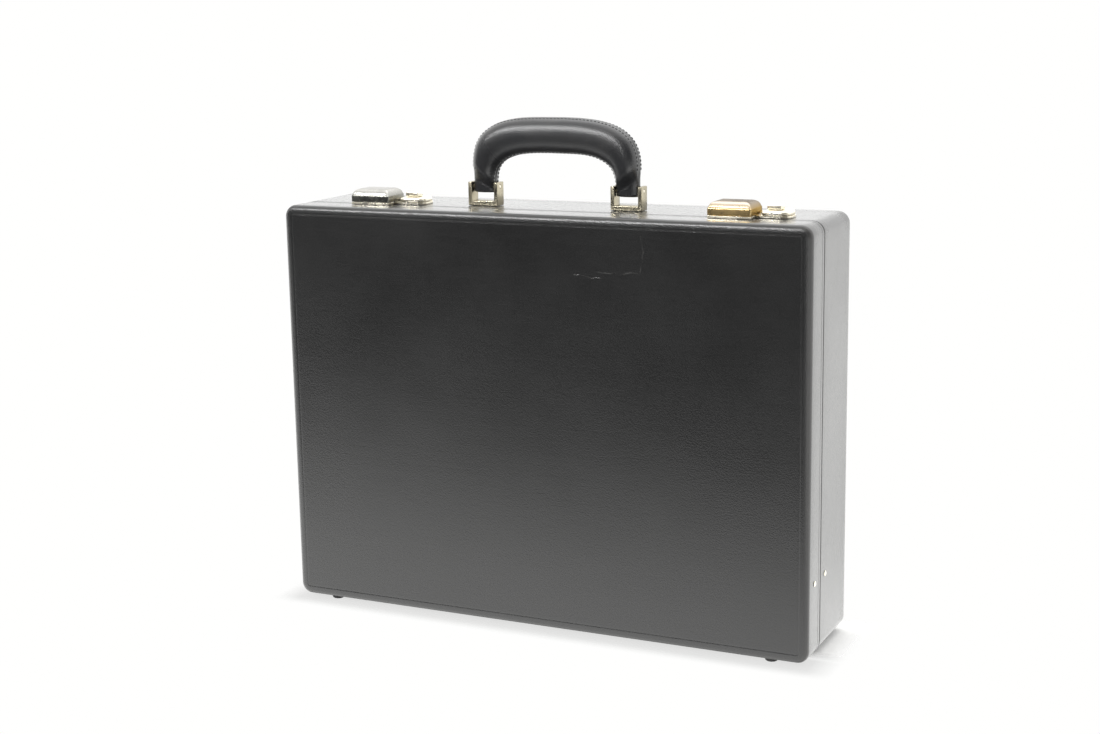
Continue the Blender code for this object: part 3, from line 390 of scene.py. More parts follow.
LOOKS = {name: maker(name, *values) for maker, name, *values in RECIPES}


# ---- mesh building

SMALLEST_CORNER = 0.0012
PANEL_MIDDLE = 0.150


def placed(name, data):
    """A new object in the scene."""
    made = bpy.data.objects.new(name, data)
    SCENE.collection.objects.link(made)
    return made


def mesh_from(name, bm):
    """Turn a bmesh into a mesh, and free it."""
    mesh = bpy.data.meshes.new(name)
    bm.to_mesh(mesh)
    bm.free()
    return mesh


def shade_smooth(mesh, sharp_from=None):
    mesh.polygons.foreach_set("use_smooth", [True] * len(mesh.polygons))
    if sharp_from:
        mesh.set_sharp_from_angle(angle=radians(sharp_from))


def baked(piece):
    """Make a piece's modifiers part of its mesh, and return that mesh."""
    bpy.context.view_layer.update()
    shaped = piece.evaluated_get(bpy.context.evaluated_depsgraph_get())
    mesh = bpy.data.meshes.new_from_object(shaped)
    piece.modifiers.clear()
    piece.data = mesh
    return mesh


def tree_over(*pieces):
    """A search tree over the faces of some pieces."""
    bm = bmesh.new()
    for piece in pieces:
        bm.from_mesh(piece.data)
    tree = BVHTree.FromBMesh(bm)
    bm.free()
    return tree


def finish_piece(name, bm, look, body, replaced=(), sharp_from=None):
    """Turn a bmesh into a piece that rides on a body and stands for CAD nodes."""
    bmesh.ops.recalc_face_normals(bm, faces=bm.faces)
    mesh = mesh_from(name, bm)
    shade_smooth(mesh, sharp_from)
    mesh.materials.append(LOOKS[look])
    piece = placed(name, mesh)
    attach(piece, body)
    if replaced:
        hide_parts(*replaced)
    return piece


def rounded_rect(half_a, half_b, radius, steps_a, steps_b, corner_steps=7):
    """Points round a rectangle with round corners, anticlockwise from its lower right corner."""
    radius = min(radius, half_a, half_b)
    corners = ((1, -1, -90), (1, 1, 0), (-1, 1, 90), (-1, -1, 180))
    arcs = []
    for sign_a, sign_b, start in corners:
        centre_a = sign_a * (half_a - radius)
        centre_b = sign_b * (half_b - radius)
        turns = [radians(start + 90 * step / corner_steps) for step in range(corner_steps + 1)]
        arcs.append([(centre_a + radius * cos(turn), centre_b + radius * sin(turn)) for turn in turns])
    points = []
    for index, arc in enumerate(arcs):
        points += arc
        following = arcs[(index + 1) % 4][0]
        steps = steps_b if index % 2 == 0 else steps_a
        for step in range(1, steps):
            share = step / steps
            points.append((arc[-1][0] + share * (following[0] - arc[-1][0]),
                           arc[-1][1] + share * (following[1] - arc[-1][1])))
    return points


def bridge(bm, near, far):
    """A band of faces between two rings of the same count."""
    count = len(near)
    for index in range(count):
        following = (index + 1) % count
        bm.faces.new((near[index], near[following], far[following], far[index]))


def loft(bm, rings, wear=None, cap_start=False, cap_end=False, closed=False):
    """Skin a row of rings of the same count; wear gives each ring's value for the shader."""
    layer = bm.verts.layers.float.get("wear") or bm.verts.layers.float.new("wear")
    rows = []
    for number, ring in enumerate(rings):
        row = [bm.verts.new(point) for point in ring]
        for vert in row:
            vert[layer] = wear[number] if wear else 0.0
        rows.append(row)
    pairs = list(zip(rows, rows[1:]))
    if closed:
        pairs.append((rows[-1], rows[0]))
    for near, far in pairs:
        bridge(bm, near, far)
    if cap_start:
        bm.faces.new(rows[0])
    if cap_end:
        bm.faces.new(rows[-1])
    return rows


def case_ring(inset, y, radius=CORNER_RADIUS, steps=(52, 40)):
    """A ring round the case, a distance in from its outline, at one depth."""
    corner = max(radius - inset, SMALLEST_CORNER)
    points = rounded_rect(SIDE - inset, HALF_HEIGHT - inset, corner, *steps)
    return [Vector((a, y, MIDDLE_Z + b)) for a, b in points]


def wall_normal(point):
    """Straight out of the wall of the case that a point is nearest to."""
    if SIDE - abs(point.x) < HALF_HEIGHT - abs(point.z - MIDDLE_Z):
        return Vector((1.0 if point.x > 0 else -1.0, 0.0, 0.0))
    return Vector((0.0, 0.0, 1.0 if point.z > MIDDLE_Z else -1.0))


def gauss(value, centre, width):
    return exp(-((value - centre) / width) ** 2)


# ---- leather shells

BAND_START = 0.0030
BAND_END = 0.0066
BAND_DROP = 0.00050
CREASE_AT = 0.0072
ARC_START = radians(16)
ARC_RADIUS = BAND_START / (1 - sin(ARC_START))
ARC_STEPS = 9
PANEL_INSETS = (PANEL_MIDDLE, 0.138, 0.126, 0.114, 0.102, 0.090, 0.078, 0.066, 0.055, 0.045, 0.036,
                0.028, 0.021, 0.016, 0.012, 0.0098, 0.0088, 0.0080, 0.0076, 0.0073, 0.0071, 0.0069,
                0.0066, 0.0062, 0.0057, 0.0050, 0.0043, 0.0036)
MOUTH_STEPS = (0.0066, 0.0060, 0.0056, 0.0052, 0.0048, 0.0044, 0.0038, 0.0030, 0.0022, 0.0016)
LIP = 0.0009
LIP_STEPS = 5
UNSEEN_RINGS = 11
CORNER_REACH = 0.014
SWELL_HEIGHT = 0.00022
FINE_SWELL_HEIGHT = 0.00006
SWELL_START = 0.0085
SWELL_EASE = 0.020
WALL_MARGIN = 0.008


def panel_depth(inset):
    """How far a big panel lies behind its plane: flat inside, a crease, then a falling band."""
    depth = 0.00014 * gauss(inset, CREASE_AT, 0.00046)
    depth -= 0.00004 * gauss(inset, CREASE_AT - 0.0011, 0.0006)
    if inset < BAND_END:
        depth += BAND_DROP * ((BAND_END - inset) / (BAND_END - BAND_START)) ** 2
    return depth


def shell_profile(depth, rim, mouth_lines):
    """(inset, depth, wear) from the panel's middle, over the edge, to the turned-in rim."""
    profile = [(inset, panel_depth(inset), 0.0) for inset in PANEL_INSETS]
    for step in range(ARC_STEPS + 1):
        turn = ARC_START + (pi / 2 - ARC_START) * step / ARC_STEPS
        wear = 0.35 + 0.65 * sin(pi * step / ARC_STEPS)
        profile.append((ARC_RADIUS * (1 - sin(turn)),
                        BAND_DROP + ARC_RADIUS * (cos(ARC_START) - cos(turn)), wear))
    wall_start = profile[-1][1]
    wall_steps = 3 if depth < 0.04 else 8
    wall_end = depth - 0.0074
    for step in range(1, wall_steps + 1):
        profile.append((0.0, wall_start + (wall_end - wall_start) * step / wall_steps,
                        0.25 if step == 1 else 0.0))
    for left in MOUTH_STEPS:
        groove = sum(0.00016 * gauss(left, at, 0.00040) for at in mouth_lines)
        profile.append((groove, depth - left, 0.15))
    for step in range(LIP_STEPS + 1):
        turn = pi / 2 * step / LIP_STEPS
        profile.append((LIP * (1 - cos(turn)), depth - LIP * (1 - sin(turn)),
                        0.8 * sin(pi * (step + 1) / 7)))
    profile += [(rim * 0.5, depth + 0.00001, 0.2), (rim - 0.0003, depth, 0.3),
                (rim, depth - 0.0003, 0.3), (rim, depth - LEATHER, 0.0),
                (LEATHER, depth - LEATHER, 0.0), (LEATHER, LEATHER + 0.0002, 0.0)]
    return profile + [(inset, LEATHER, 0.0) for inset in (0.020, 0.060, 0.100, PANEL_MIDDLE)]


def shell_skin(name, outer_y, mouth_y, rim, mouth_lines, body, node, seed):
    """The leather over one shell, one closed skin with its edges turned in at the mouth."""
    sense = 1.0 if mouth_y > outer_y else -1.0
    depth = abs(mouth_y - outer_y)
    profile = shell_profile(depth, rim, mouth_lines)
    bm = bmesh.new()
    rings = [case_ring(inset, outer_y + sense * along) for inset, along, _ in profile]
    rows = loft(bm, rings, [wear for _, _, wear in profile], cap_start=True, cap_end=True)
    wear_layer = bm.verts.layers.float.get("wear")
    for (inset, along, _), row in zip(profile[:-UNSEEN_RINGS], rows):
        for vert in row:
            x, y, z = vert.co
            to_side = max(0.0, 1.0 - (SIDE - abs(x)) / CORNER_REACH)
            to_end = max(0.0, 1.0 - (HALF_HEIGHT - abs(z - MIDDLE_Z)) / CORNER_REACH)
            corner = to_side * to_end
            rubbed = vert[wear_layer] * (0.55 + 1.6 * corner) + 0.5 * corner * corner
            vert[wear_layer] = min(1.0, rubbed)
            spot = Vector((x * 9.0 + seed, y * 9.0, z * 9.0))
            swell = noise.noise(spot) * SWELL_HEIGHT + noise.noise(spot * 3.1) * FINE_SWELL_HEIGHT
            if inset > SWELL_START:
                vert.co.y += sense * swell * min(1.0, (inset - SWELL_START) / SWELL_EASE)
            elif WALL_MARGIN < along < depth - WALL_MARGIN:
                vert.co += wall_normal(vert.co) * swell * 0.35
    finish_piece(name, bm, "black_leather", body, (node,))


shell_skin("lid_leather_skin", FRONT_Y, PARTING_Y - HALF_GAP, 0.0055, (0.0050,), "lid",
           "lid_leather", 3.7)
shell_skin("base_leather_skin", BACK_Y, PARTING_Y + HALF_GAP, 0.0070, (), "root", "base_leather", 8.2)


# ---- carried-over CAD metal

SOFT_EDGE = 0.00022
THIN_SOFT_EDGE = 0.00018
EDGE_WIDTHS = {
    "lock_plate": SOFT_EDGE, "lock_housing": SOFT_EDGE, "slide_knob": SOFT_EDGE, "lid_catch": SOFT_EDGE,
    "handle_bracket": 0.0,
    "hinge_base_leaf": THIN_SOFT_EDGE, "hinge_lid_leaf": THIN_SOFT_EDGE,
    "stay_base_link": THIN_SOFT_EDGE, "stay_lid_link": THIN_SOFT_EDGE,
    "stay_base_rivet": 0.0, "stay_lid_rivet": 0.0, "stay_elbow_rivet": 0.0,
}


def refined(node, look, width):
    """A CAD node's own shape with its hard edges softened, standing for that node."""
    bm = bmesh.new()
    bm.from_mesh(NODES[node].data)
    bmesh.ops.remove_doubles(bm, verts=bm.verts, dist=0.000002)
    bmesh.ops.dissolve_limit(bm, angle_limit=radians(0.8), verts=bm.verts, edges=bm.edges)
    mesh = NODES[node].data.copy()
    bm.to_mesh(mesh)
    bm.free()
    piece = placed(f"{node}_fine", mesh)
    if width:
        bevel = piece.modifiers.new("soft_edges", 'BEVEL')
        bevel.width = width
        bevel.segments = 2
        bevel.limit_method = 'ANGLE'
        bevel.angle_limit = radians(38)
        bevel.miter_outer = 'MITER_ARC'
        bevel.use_clamp_overlap = True
        mesh = baked(piece)
    shade_smooth(mesh, 42)
    mesh.materials.clear()
    mesh.materials.append(LOOKS[look])
    mesh.name = piece.name
    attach(piece, NODES[node]["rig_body"])
    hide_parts(node)


# The handle brackets take a darker copy of the gold: painted shade.
for side, _ in SIDES:
    for part, width in EDGE_WIDTHS.items():
        refined(f"{part}_{side}", "bracket_gold" if part == "handle_bracket" else "pale_gold", width)

for thing in NODES.values():
    slot_name = thing.data.materials[0].name.split(".")[0] if thing.data.materials else "pale_gold"
    look = LOOKS.get(slot_name, LOOKS["pale_gold"])
    if thing.data.materials:
        thing.material_slots[0].material = look
    else:
        thing.data.materials.append(look)


# ---- hasps

# Both hasps are of one gold; each gets its own darker copy, brown on the right and grey on the left, as
# painted shade.
HASP_LOOKS = {"left": "worn_gold", "right": "warm_gold"}
HASP_DOME = 0.0046
HASP_WALL = 0.0012
HASP_DOME_STEPS = 9
HASP_SHARP_FROM = 32
HASP_PIVOT_Y = -0.0060
HASP_PIVOT_Z = TOP + 0.0050


def hasp_cover(side, lock_x):
    """A mitred pillow of sheet metal, open below and at its hinge, with an inner skin."""
    low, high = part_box(f"hasp_{side}")
    middle = (low + high) / 2
    half_a = (high.x - low.x) / 2
    half_b = (high.y - low.y) / 2
    wall_top = high.z - HASP_DOME
    outer = [(0.0003, low.z), (0.0, low.z + 0.0003), (0.0, wall_top - 0.0008),
             (0.00012, wall_top - 0.0003), (0.0004, wall_top)]
    wear = [0.0, 0.0, 0.0, 0.1, 0.3]
    # The wear value rises to its full on the flat top, so the top is painted pale: rubbing, and a painted
    # highlight as well.
    for step in range(1, HASP_DOME_STEPS + 1):
        turn = pi / 2 * step / HASP_DOME_STEPS
        outer.append((0.0006 + 0.0056 * (1 - cos(turn)) ** 0.92, wall_top + HASP_DOME * sin(turn) ** 0.95))
        wear.append(min(1.0, 0.35 + 0.13 * step))
    outer += [(0.0085, high.z + 0.00004), (0.0115, high.z + 0.00006)]
    wear += [1.0, 1.0]
    inner = [(0.0115, wall_top + 0.0024), (0.0050, wall_top + 0.0020), (0.0026, wall_top + 0.0010),
             (HASP_WALL, wall_top - 0.0006), (HASP_WALL, low.z)]

    def ring(inset, z):
        points = rounded_rect(half_a - inset, half_b - inset, 0.0008, 12, 9, 3)
        return [Vector((middle.x + a, middle.y + b, z)) for a, b in points]

    bm = bmesh.new()
    outer_rows = loft(bm, [ring(*r) for r in outer], wear, cap_end=True)
    inner_rows = loft(bm, [ring(*r) for r in inner], cap_start=True)
    bridge(bm, outer_rows[0], inner_rows[-1])
    piece = finish_piece(f"hasp_cover_{side}", bm, HASP_LOOKS[side], f"hasp_{side}",
                         (f"hasp_{side}",), sharp_from=HASP_SHARP_FROM)
    # two boxes are cut away: the open back, and the heel's path round its pin
    back = Matrix.Translation((middle.x, high.y, low.z + 0.0017))
    back = back @ Matrix.Diagonal((half_a * 2 - 2 * HASP_WALL, 0.006, 0.0060, 1.0))
    heel = Matrix.Translation((lock_x, HASP_PIVOT_Y, HASP_PIVOT_Z)) @ Matrix.Rotation(radians(-45), 4, 'X')
    heel = heel @ Matrix.Translation((0, 0.0024 + 0.003, 0)) @ Matrix.Diagonal((0.06, 0.006, 0.010, 1.0))
    boxes = bmesh.new()
    for box in (back, heel):
        bmesh.ops.create_cube(boxes, size=1.0, matrix=box)
    cutter = placed("hasp_cut", mesh_from("hasp_cut", boxes))
    cut = piece.modifiers.new("open_back", 'BOOLEAN')
    cut.operation = 'DIFFERENCE'
    cut.solver = 'EXACT'
    cut.use_self = True
    cut.object = cutter
    baked(piece).set_sharp_from_angle(angle=radians(HASP_SHARP_FROM))
    bpy.data.objects.remove(cutter)


for side, sign in SIDES:
    hasp_cover(side, sign * LOCK_X)


# ---- handle

GRIP_LEG = 0.0183
GRIP_END_DROP = 0.0044
GRIP_END_DEPTH = 0.0094
GRIP_DEPTH = 0.0200
GRIP_ROUNDNESS = 2.35
GRIP_POINTS = 56
BRACKET_HEIGHT = 0.0183
INNER_SPRING = TOP + 0.0140
OUTER_SPRING = TOP + 0.0250
INNER_RISE = 0.0275
OUTER_RISE = 0.0428
INNER_ROUNDNESS = 3.2
OUTER_ROUNDNESS = 3.1
WELT_HEIGHT = 0.00045
WELT_GROOVE = 0.00032
# pitch, gap and thickness of each kind of stitch
HANDLE_STITCH = (0.0030, 0.0007, 0.00048)
LINING_STITCH = (0.0042, 0.0010, 0.00060)
LIP_STITCH = (0.0042, 0.0009, 0.00042)
POCKET_STITCH = (0.0036, 0.0009, 0.00062)


def arch(half_width, spring, rise, power, turn):
    return Vector((half_width * cos(turn) ** (2 / power), 0.0,
                   spring + rise * sin(turn) ** (2 / power)))


def handle_rails(leg_steps=12, arch_steps=34):
    """Inner and outer points of the grip, from the right end, over the top, to the left end."""
    outer_half = BRACKET_X + GRIP_LEG / 2
    inner_half = BRACKET_X - GRIP_LEG / 2
    end = PIVOT_Z - GRIP_END_DROP
    half = []
    for step in range(leg_steps):
        along = step / leg_steps
        half.append((Vector((inner_half, 0, end + along * (INNER_SPRING - end))),
                     Vector((outer_half, 0, end + along * (OUTER_SPRING - end)))))
    for step in range(arch_steps + 1):
        along = step / arch_steps
        eased = along ** 1.5 / (along ** 1.5 + (1 - along) ** 1.5)
        turn = eased * pi / 2
        inner = arch(inner_half, INNER_SPRING, INNER_RISE, INNER_ROUNDNESS, turn)
        outer = arch(outer_half, OUTER_SPRING, OUTER_RISE, OUTER_ROUNDNESS, turn)
        if step == arch_steps:
            inner.x = outer.x = 0.0
        half.append((inner, outer))
    other = [(Vector((-a.x, a.y, a.z)), Vector((-b.x, b.y, b.z))) for a, b in reversed(half[:-1])]
    return half + other


def grip_depth(height):
    low = TOP + BRACKET_HEIGHT - 0.0030
    share = min(max((height - low) / 0.0140, 0.0), 1.0)
    return GRIP_END_DEPTH + (GRIP_DEPTH - GRIP_END_DEPTH) * share * share * (3 - 2 * share)


def rounder(value):
    """A sine or cosine drawn out so that an ellipse turns into a fat oval."""
    return abs(value) ** (2 / GRIP_ROUNDNESS) * (1 if value >= 0 else -1)


def section_point(inner, outer, depth, turn, welt):
    """A point of the grip's section: fat oval with a sewn welt at its outer and inner edge."""
    middle = (inner + outer) / 2
    across = (outer - inner) / 2
    reach = rounder(cos(turn))
    point = middle + across * reach + Vector((0, depth / 2 * rounder(sin(turn)), 0))
    gap = abs(point.y)
    raised = WELT_HEIGHT * gauss(gap, 0.0, 0.00085) - WELT_GROOVE * gauss(gap, 0.0021, 0.00060)
    push = welt * raised if abs(reach) > 0.6 else 0.0
    direction = across.normalized() * (1 if reach >= 0 else -1)
    return point + direction * push + Vector((0, HANDLE_Y, 0))


def tucked_end(ring):
    """Rings that close one end of the grip: its tucked-in middle, a soft edge and its rim."""
    centre = sum(ring, Vector()) / GRIP_POINTS
    tucked = [centre + (point - centre) * 0.80 for point in ring]
    edge = [centre + (point - centre) * 0.94 + Vector((0, 0, 0.00035)) for point in ring]
    return [tucked, edge, [point + Vector((0, 0, 0.0012)) for point in ring]]


def grip():
    """The padded grip: leather drawn tight over a firm filler, its ends tucked in."""
    rails = handle_rails()
    rings = []
    wear = []
    for inner, outer in rails:
        height = (inner.z + outer.z) / 2
        depth = grip_depth(height)
        welt = min(1.0, max(0.0, (depth - GRIP_END_DEPTH) / 0.004))
        spread = []
        for index in range(GRIP_POINTS):
            turn = 2 * pi * index / GRIP_POINTS
            # points crowd toward the two edges, where the welts are
            turn = turn - 0.42 * sin(2 * turn) / 2
            point = section_point(inner, outer, depth, turn, welt)
            spot = Vector((point.x * 55.0, point.y * 55.0 + 4.0, point.z * 55.0))
            out = point - (inner + outer) / 2 - Vector((0, HANDLE_Y, 0))
            uneven = noise.noise(spot) * 0.00026 + noise.noise(spot * 2.7) * 0.00011
            point += out.normalized() * (uneven * welt)
            spread.append(point)
        rings.append(spread)
        top_share = min(1.0, max(0.0, (outer.z - TOP - 0.052) / 0.012))
        wear.append(0.15 + 0.35 * top_share)
    rings = tucked_end(rings[0]) + rings[1:-1] + tucked_end(rings[-1])[::-1]
    wear = [0.1, 0.5] + wear + [0.5, 0.1]
    bm = bmesh.new()
    loft(bm, rings, wear, cap_start=True, cap_end=True)
    piece = finish_piece("handle_grip_leather", bm, "handle_leather", "handle",
                         ("handle_grip",))
    return piece, rails


def stitch(bm, start, end, up, thickness):
    """One stitch: a short sagging bead of thread with its ends going into the leather."""
    along = end - start
    side = along.cross(up).normalized()
    lift = side.cross(along).normalized()
    rings = []
    for share, height, size in ((0.0, -0.7, 0.55), (0.12, 0.15, 0.9), (0.35, 0.42, 1.0),
                                (0.65, 0.42, 1.0), (0.88, 0.15, 0.9), (1.0, -0.7, 0.55)):
        centre = start + along * share + lift * (height * thickness)
        radius = size * thickness / 2
        turns = [2 * pi * k / 6 for k in range(6)]
        rings.append([centre + side * (radius * cos(turn)) + lift * (radius * sin(turn)) for turn in turns])
    loft(bm, rings, cap_start=True, cap_end=True)


def stitch_line(bm, points, normals, pitch, gap, thickness):
    """Stitches at an even pitch along a row of points with their surface normals."""
    lengths = [0.0]
    for near, far in zip(points, points[1:]):
        lengths.append(lengths[-1] + (far - near).length)

    def at(distance):
        distance = min(max(distance, 0.0), lengths[-1])
        index = max(bisect_left(lengths, distance), 1)
        span = lengths[index] - lengths[index - 1]
        share = (distance - lengths[index - 1]) / span if span else 0.0
        return (points[index - 1].lerp(points[index], share),
                normals[index - 1].lerp(normals[index], share).normalized())

    total = int(lengths[-1] / pitch)
    start_at = (lengths[-1] - total * pitch) / 2
    for number in range(total):
        near, up = at(start_at + number * pitch + gap / 2)
        far, _ = at(start_at + (number + 1) * pitch - gap / 2)
        stitch(bm, near, far, up, thickness)


def surface_line(tree, points, toward):
    """Drop points onto a surface along given directions; returns points and normals."""
    found = []
    for point, direction in zip(points, toward):
        hit, normal, _, _ = tree.ray_cast(point, direction)
        if hit is not None:
            found.append((hit, -normal if normal.dot(direction) > 0 else normal))
    return [hit for hit, _ in found], [normal for _, normal in found]


def handle_seams(piece, rails):
    """A row of stitches on either side of the welts along the grip's outer and inner edge."""
    tree = tree_over(piece)
    stitches = bmesh.new()
    for outer_edge in (True, False):
        for face in (-1, 1):
            points = []
            directions = []
            for inner, outer in rails:
                if (inner.z + outer.z) / 2 < TOP + 0.0225:
                    continue
                across = (outer - inner).normalized()
                edge = outer if outer_edge else inner
                way = -across if outer_edge else across
                points.append(edge - way * 0.006 + Vector((0, HANDLE_Y + face * 0.0034, 0)))
                directions.append(way)
            line, normals = surface_line(tree, points, directions)
            stitch_line(stitches, line, normals, *HANDLE_STITCH)
    finish_piece("handle_stitching", stitches, "black_thread", "handle")


handle_seams(*grip())


# ---- linings, lip and pocket

SEAM_INSET = 0.0195
LINING_CORNER = 0.0105
SEAM_CORNER = 0.0205
LINING_THICKNESS = 0.0008
FOLD = 0.0035
FOLD_DIP_AT = 0.0165
LINING_INSETS = (0.0150, 0.0165, 0.0180, 0.022, 0.030, 0.042, 0.056, 0.072, 0.090, 0.110, 0.130,
                 PANEL_MIDDLE)
LIP_CORNER = CORNER_RADIUS + 0.0013
LIP_STEPS_ROUND = (60, 46)


def lining_profile(node, wall_inset, inward):
    """Follows a CAD lining: up the walls, a soft fold, over the floor, and back underneath."""
    low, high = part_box(node)
    mouth, bed = (low.y, high.y) if inward > 0 else (high.y, low.y)
    floor_y = bed - inward * LINING_THICKNESS
    inner = wall_inset + LINING_THICKNESS
    points = [(wall_inset, mouth + inward * 0.0002, 0.2),
              (wall_inset + LINING_THICKNESS * 0.5, mouth, 0.3),
              (inner, mouth + inward * 0.0003, 0.2)]
    length = abs(floor_y - mouth)
    points += [(inner, mouth + inward * length * share, 0.0) for share in (0.15, 0.35, 0.55, 0.75)]
    # The fold between wall and floor, and the crease beside it, get wear values that darken the suede:
    # painted shade.
    for step in range(6):
        turn = pi / 2 * step / 5
        points.append((inner + FOLD * (1 - cos(turn)), floor_y - inward * FOLD * (1 - sin(turn)), 0.6))
    for inset in LINING_INSETS:
        dip = 0.00030 * gauss(inset, FOLD_DIP_AT, 0.0009)
        points.append((inset, floor_y + inward * dip, 0.4 * gauss(inset, FOLD_DIP_AT, 0.0012)))
    points += [(inset, bed, 0.0) for inset in (PANEL_MIDDLE, 0.110, 0.060, 0.020, wall_inset + 0.0030)]
    return points + [(wall_inset + 0.0010, bed - inward * 0.0008, 0.0),
                     (wall_inset, bed - inward * 0.0030, 0.0)]


def glued_lining(name, node, wall_inset, inward, body, seed):
    """A suede lining glued into one shell, and the seam stitched round its floor."""
    profile = lining_profile(node, wall_inset, inward)
    bm = bmesh.new()
    rings = [case_ring(inset, y, LINING_CORNER, (44, 34)) for inset, y, _ in profile]
    split = 1 + next(i for i, (inset, _, _) in enumerate(profile) if inset == PANEL_MIDDLE)
    front = loft(bm, rings[:split], [wear for _, _, wear in profile[:split]], cap_end=True)
    back = loft(bm, rings[split:], [wear for _, _, wear in profile[split:]], cap_start=True)
    bridge(bm, front[0], back[-1])
    for (inset, _, _), row in zip(profile, front):
        ease = min(1.0, max(0.0, (inset - 0.018) / 0.015))
        for vert in row:
            spot = Vector((vert.co.x * 24.0 + seed, 0.0, vert.co.z * 24.0))
            vert.co.y -= inward * 0.00028 * ease * (0.5 + noise.noise(spot))
    piece = finish_piece(name, bm, "suede_lining", body, (node,))
    low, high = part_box(node)
    ring = case_ring(SEAM_INSET, low.y if inward > 0 else high.y, SEAM_CORNER, (60, 46))
    ring.append(ring[0])
    line, normals = surface_line(tree_over(piece), ring, [Vector((0, inward, 0))] * len(ring))
    seam = bmesh.new()
    stitch_line(seam, line, normals, *LINING_STITCH)
    finish_piece(f"{name}_stitching", seam, "brown_thread", body)


glued_lining("base_lining_suede", "base_lining", 0.0073, 1.0, "root", 1.3)
glued_lining("lid_lining_suede", "lid_lining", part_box("lid_lining")[0].x + SIDE, -1.0, "lid", 5.9)


def dust_lip():
    """The strip round the mouth, with a rolled rim and a row of stitches inside the lid's space."""
    low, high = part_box("base_dust_lip")
    inset = low.x + SIDE
    thick = 0.0010
    side = [(0.0, high.y, 0), (0.0, high.y - 0.006, 0), (0.0, low.y + 0.0052, 0),
            (0.0001, low.y + 0.0046, 0.1), (0.0, low.y + 0.0040, 0.2), (0.0, low.y + 0.0010, 0.3),
            (0.0001, low.y + 0.0004, 0.8), (0.00035, low.y + 0.00008, 1.0)]
    profile = side + [(thick / 2, low.y, 1.0)] + [(thick - off, y, wear) for off, y, wear in reversed(side)]
    bm = bmesh.new()
    rings = [case_ring(inset + off, y, LIP_CORNER, LIP_STEPS_ROUND) for off, y, _ in profile]
    loft(bm, rings, [wear for _, _, wear in profile], closed=True)
    finish_piece("dust_lip_edge", bm, "black_edge_leather", "root",
                 ("base_dust_lip",))
    seam = bmesh.new()
    ring = case_ring(inset + 0.00006, low.y + 0.0024, LIP_CORNER, LIP_STEPS_ROUND)
    ring.append(ring[0])
    stitch_line(seam, ring, [wall_normal(point) for point in ring], *LIP_STITCH)
    finish_piece("dust_lip_stitching", seam, "black_thread", "root")


dust_lip()


POCKET_SIDE = ((0.0006, 0.0002), (0.0006, 0.0014), (0.0006, 0.0026), (0.0018, 0.0034),
               (0.0048, 0.0040), (0.0060, 0.0045), (0.0048, 0.0050), (0.0018, 0.0056),
               (0.0006, 0.0064), (0.0006, 0.0074), (0.0011, 0.0082), (0.0022, 0.0086))
POCKET_DEPTH = 0.0086
POCKET_DIP = 0.0050
POCKET_THICKNESS = 0.0006
HEM_HEIGHT = 0.0110
HEM_THICKNESS = 0.0016
SIMULATED_FRAMES = 20
CLOTH = {
    "vertex_group_mass": "held", "quality": 6, "mass": 0.25, "tension_stiffness": 20.0,
    "compression_stiffness": 20.0, "shear_stiffness": 8.0, "bending_stiffness": 1.5,
    "shrink_min": -0.030,
}
CLOTH_GRAVITY = 0.4
# how far the cloth may settle along x, y and z, so that it stays between the lining and its box
SETTLE_LIMITS = ((-0.0010, 0.0010), (-0.0032, 0.0014), (-0.0012, 0.0012))
SEAM_STEPS = 90
SIDE_SEAM_STEPS = 50


def pocket_grid():
    """Rows of points from the pocket's round bottom to its hem, each from side to pleated side."""
    low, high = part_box("lid_pocket")
    half = high.x
    side = [(half - inset, depth) for inset, depth in POCKET_SIDE]
    inner = side[-1][0]
    columns = 66
    front = [(inner - 2 * inner * step / columns, POCKET_DEPTH) for step in range(1, columns)]
    path = side + front + [(-x, depth) for x, depth in reversed(side)]
    heights = [0.0003, 0.0009, 0.0020, 0.0036, 0.0056, 0.0078, 0.0100]
    top = high.z - low.z - 0.0004
    steps = 34
    body_top = top - HEM_HEIGHT
    heights += [0.0100 + (body_top - 0.0100) * step / steps for step in range(1, steps + 1)]
    heights += [body_top + HEM_HEIGHT * step / 3 for step in (1, 2, 3)]
    rows = []
    for height in heights:
        curl = min(1.0, height / 0.0100)
        share = 0.06 + 0.94 * sqrt(max(0.0, 1 - (1 - curl) ** 2))
        lift = (height / top) ** 3
        rows.append([Vector((x, low.y + depth * share,
                             low.z + height - POCKET_DIP * lift * (1 - (x / half) ** 2)))
                     for x, depth in path])
    return rows


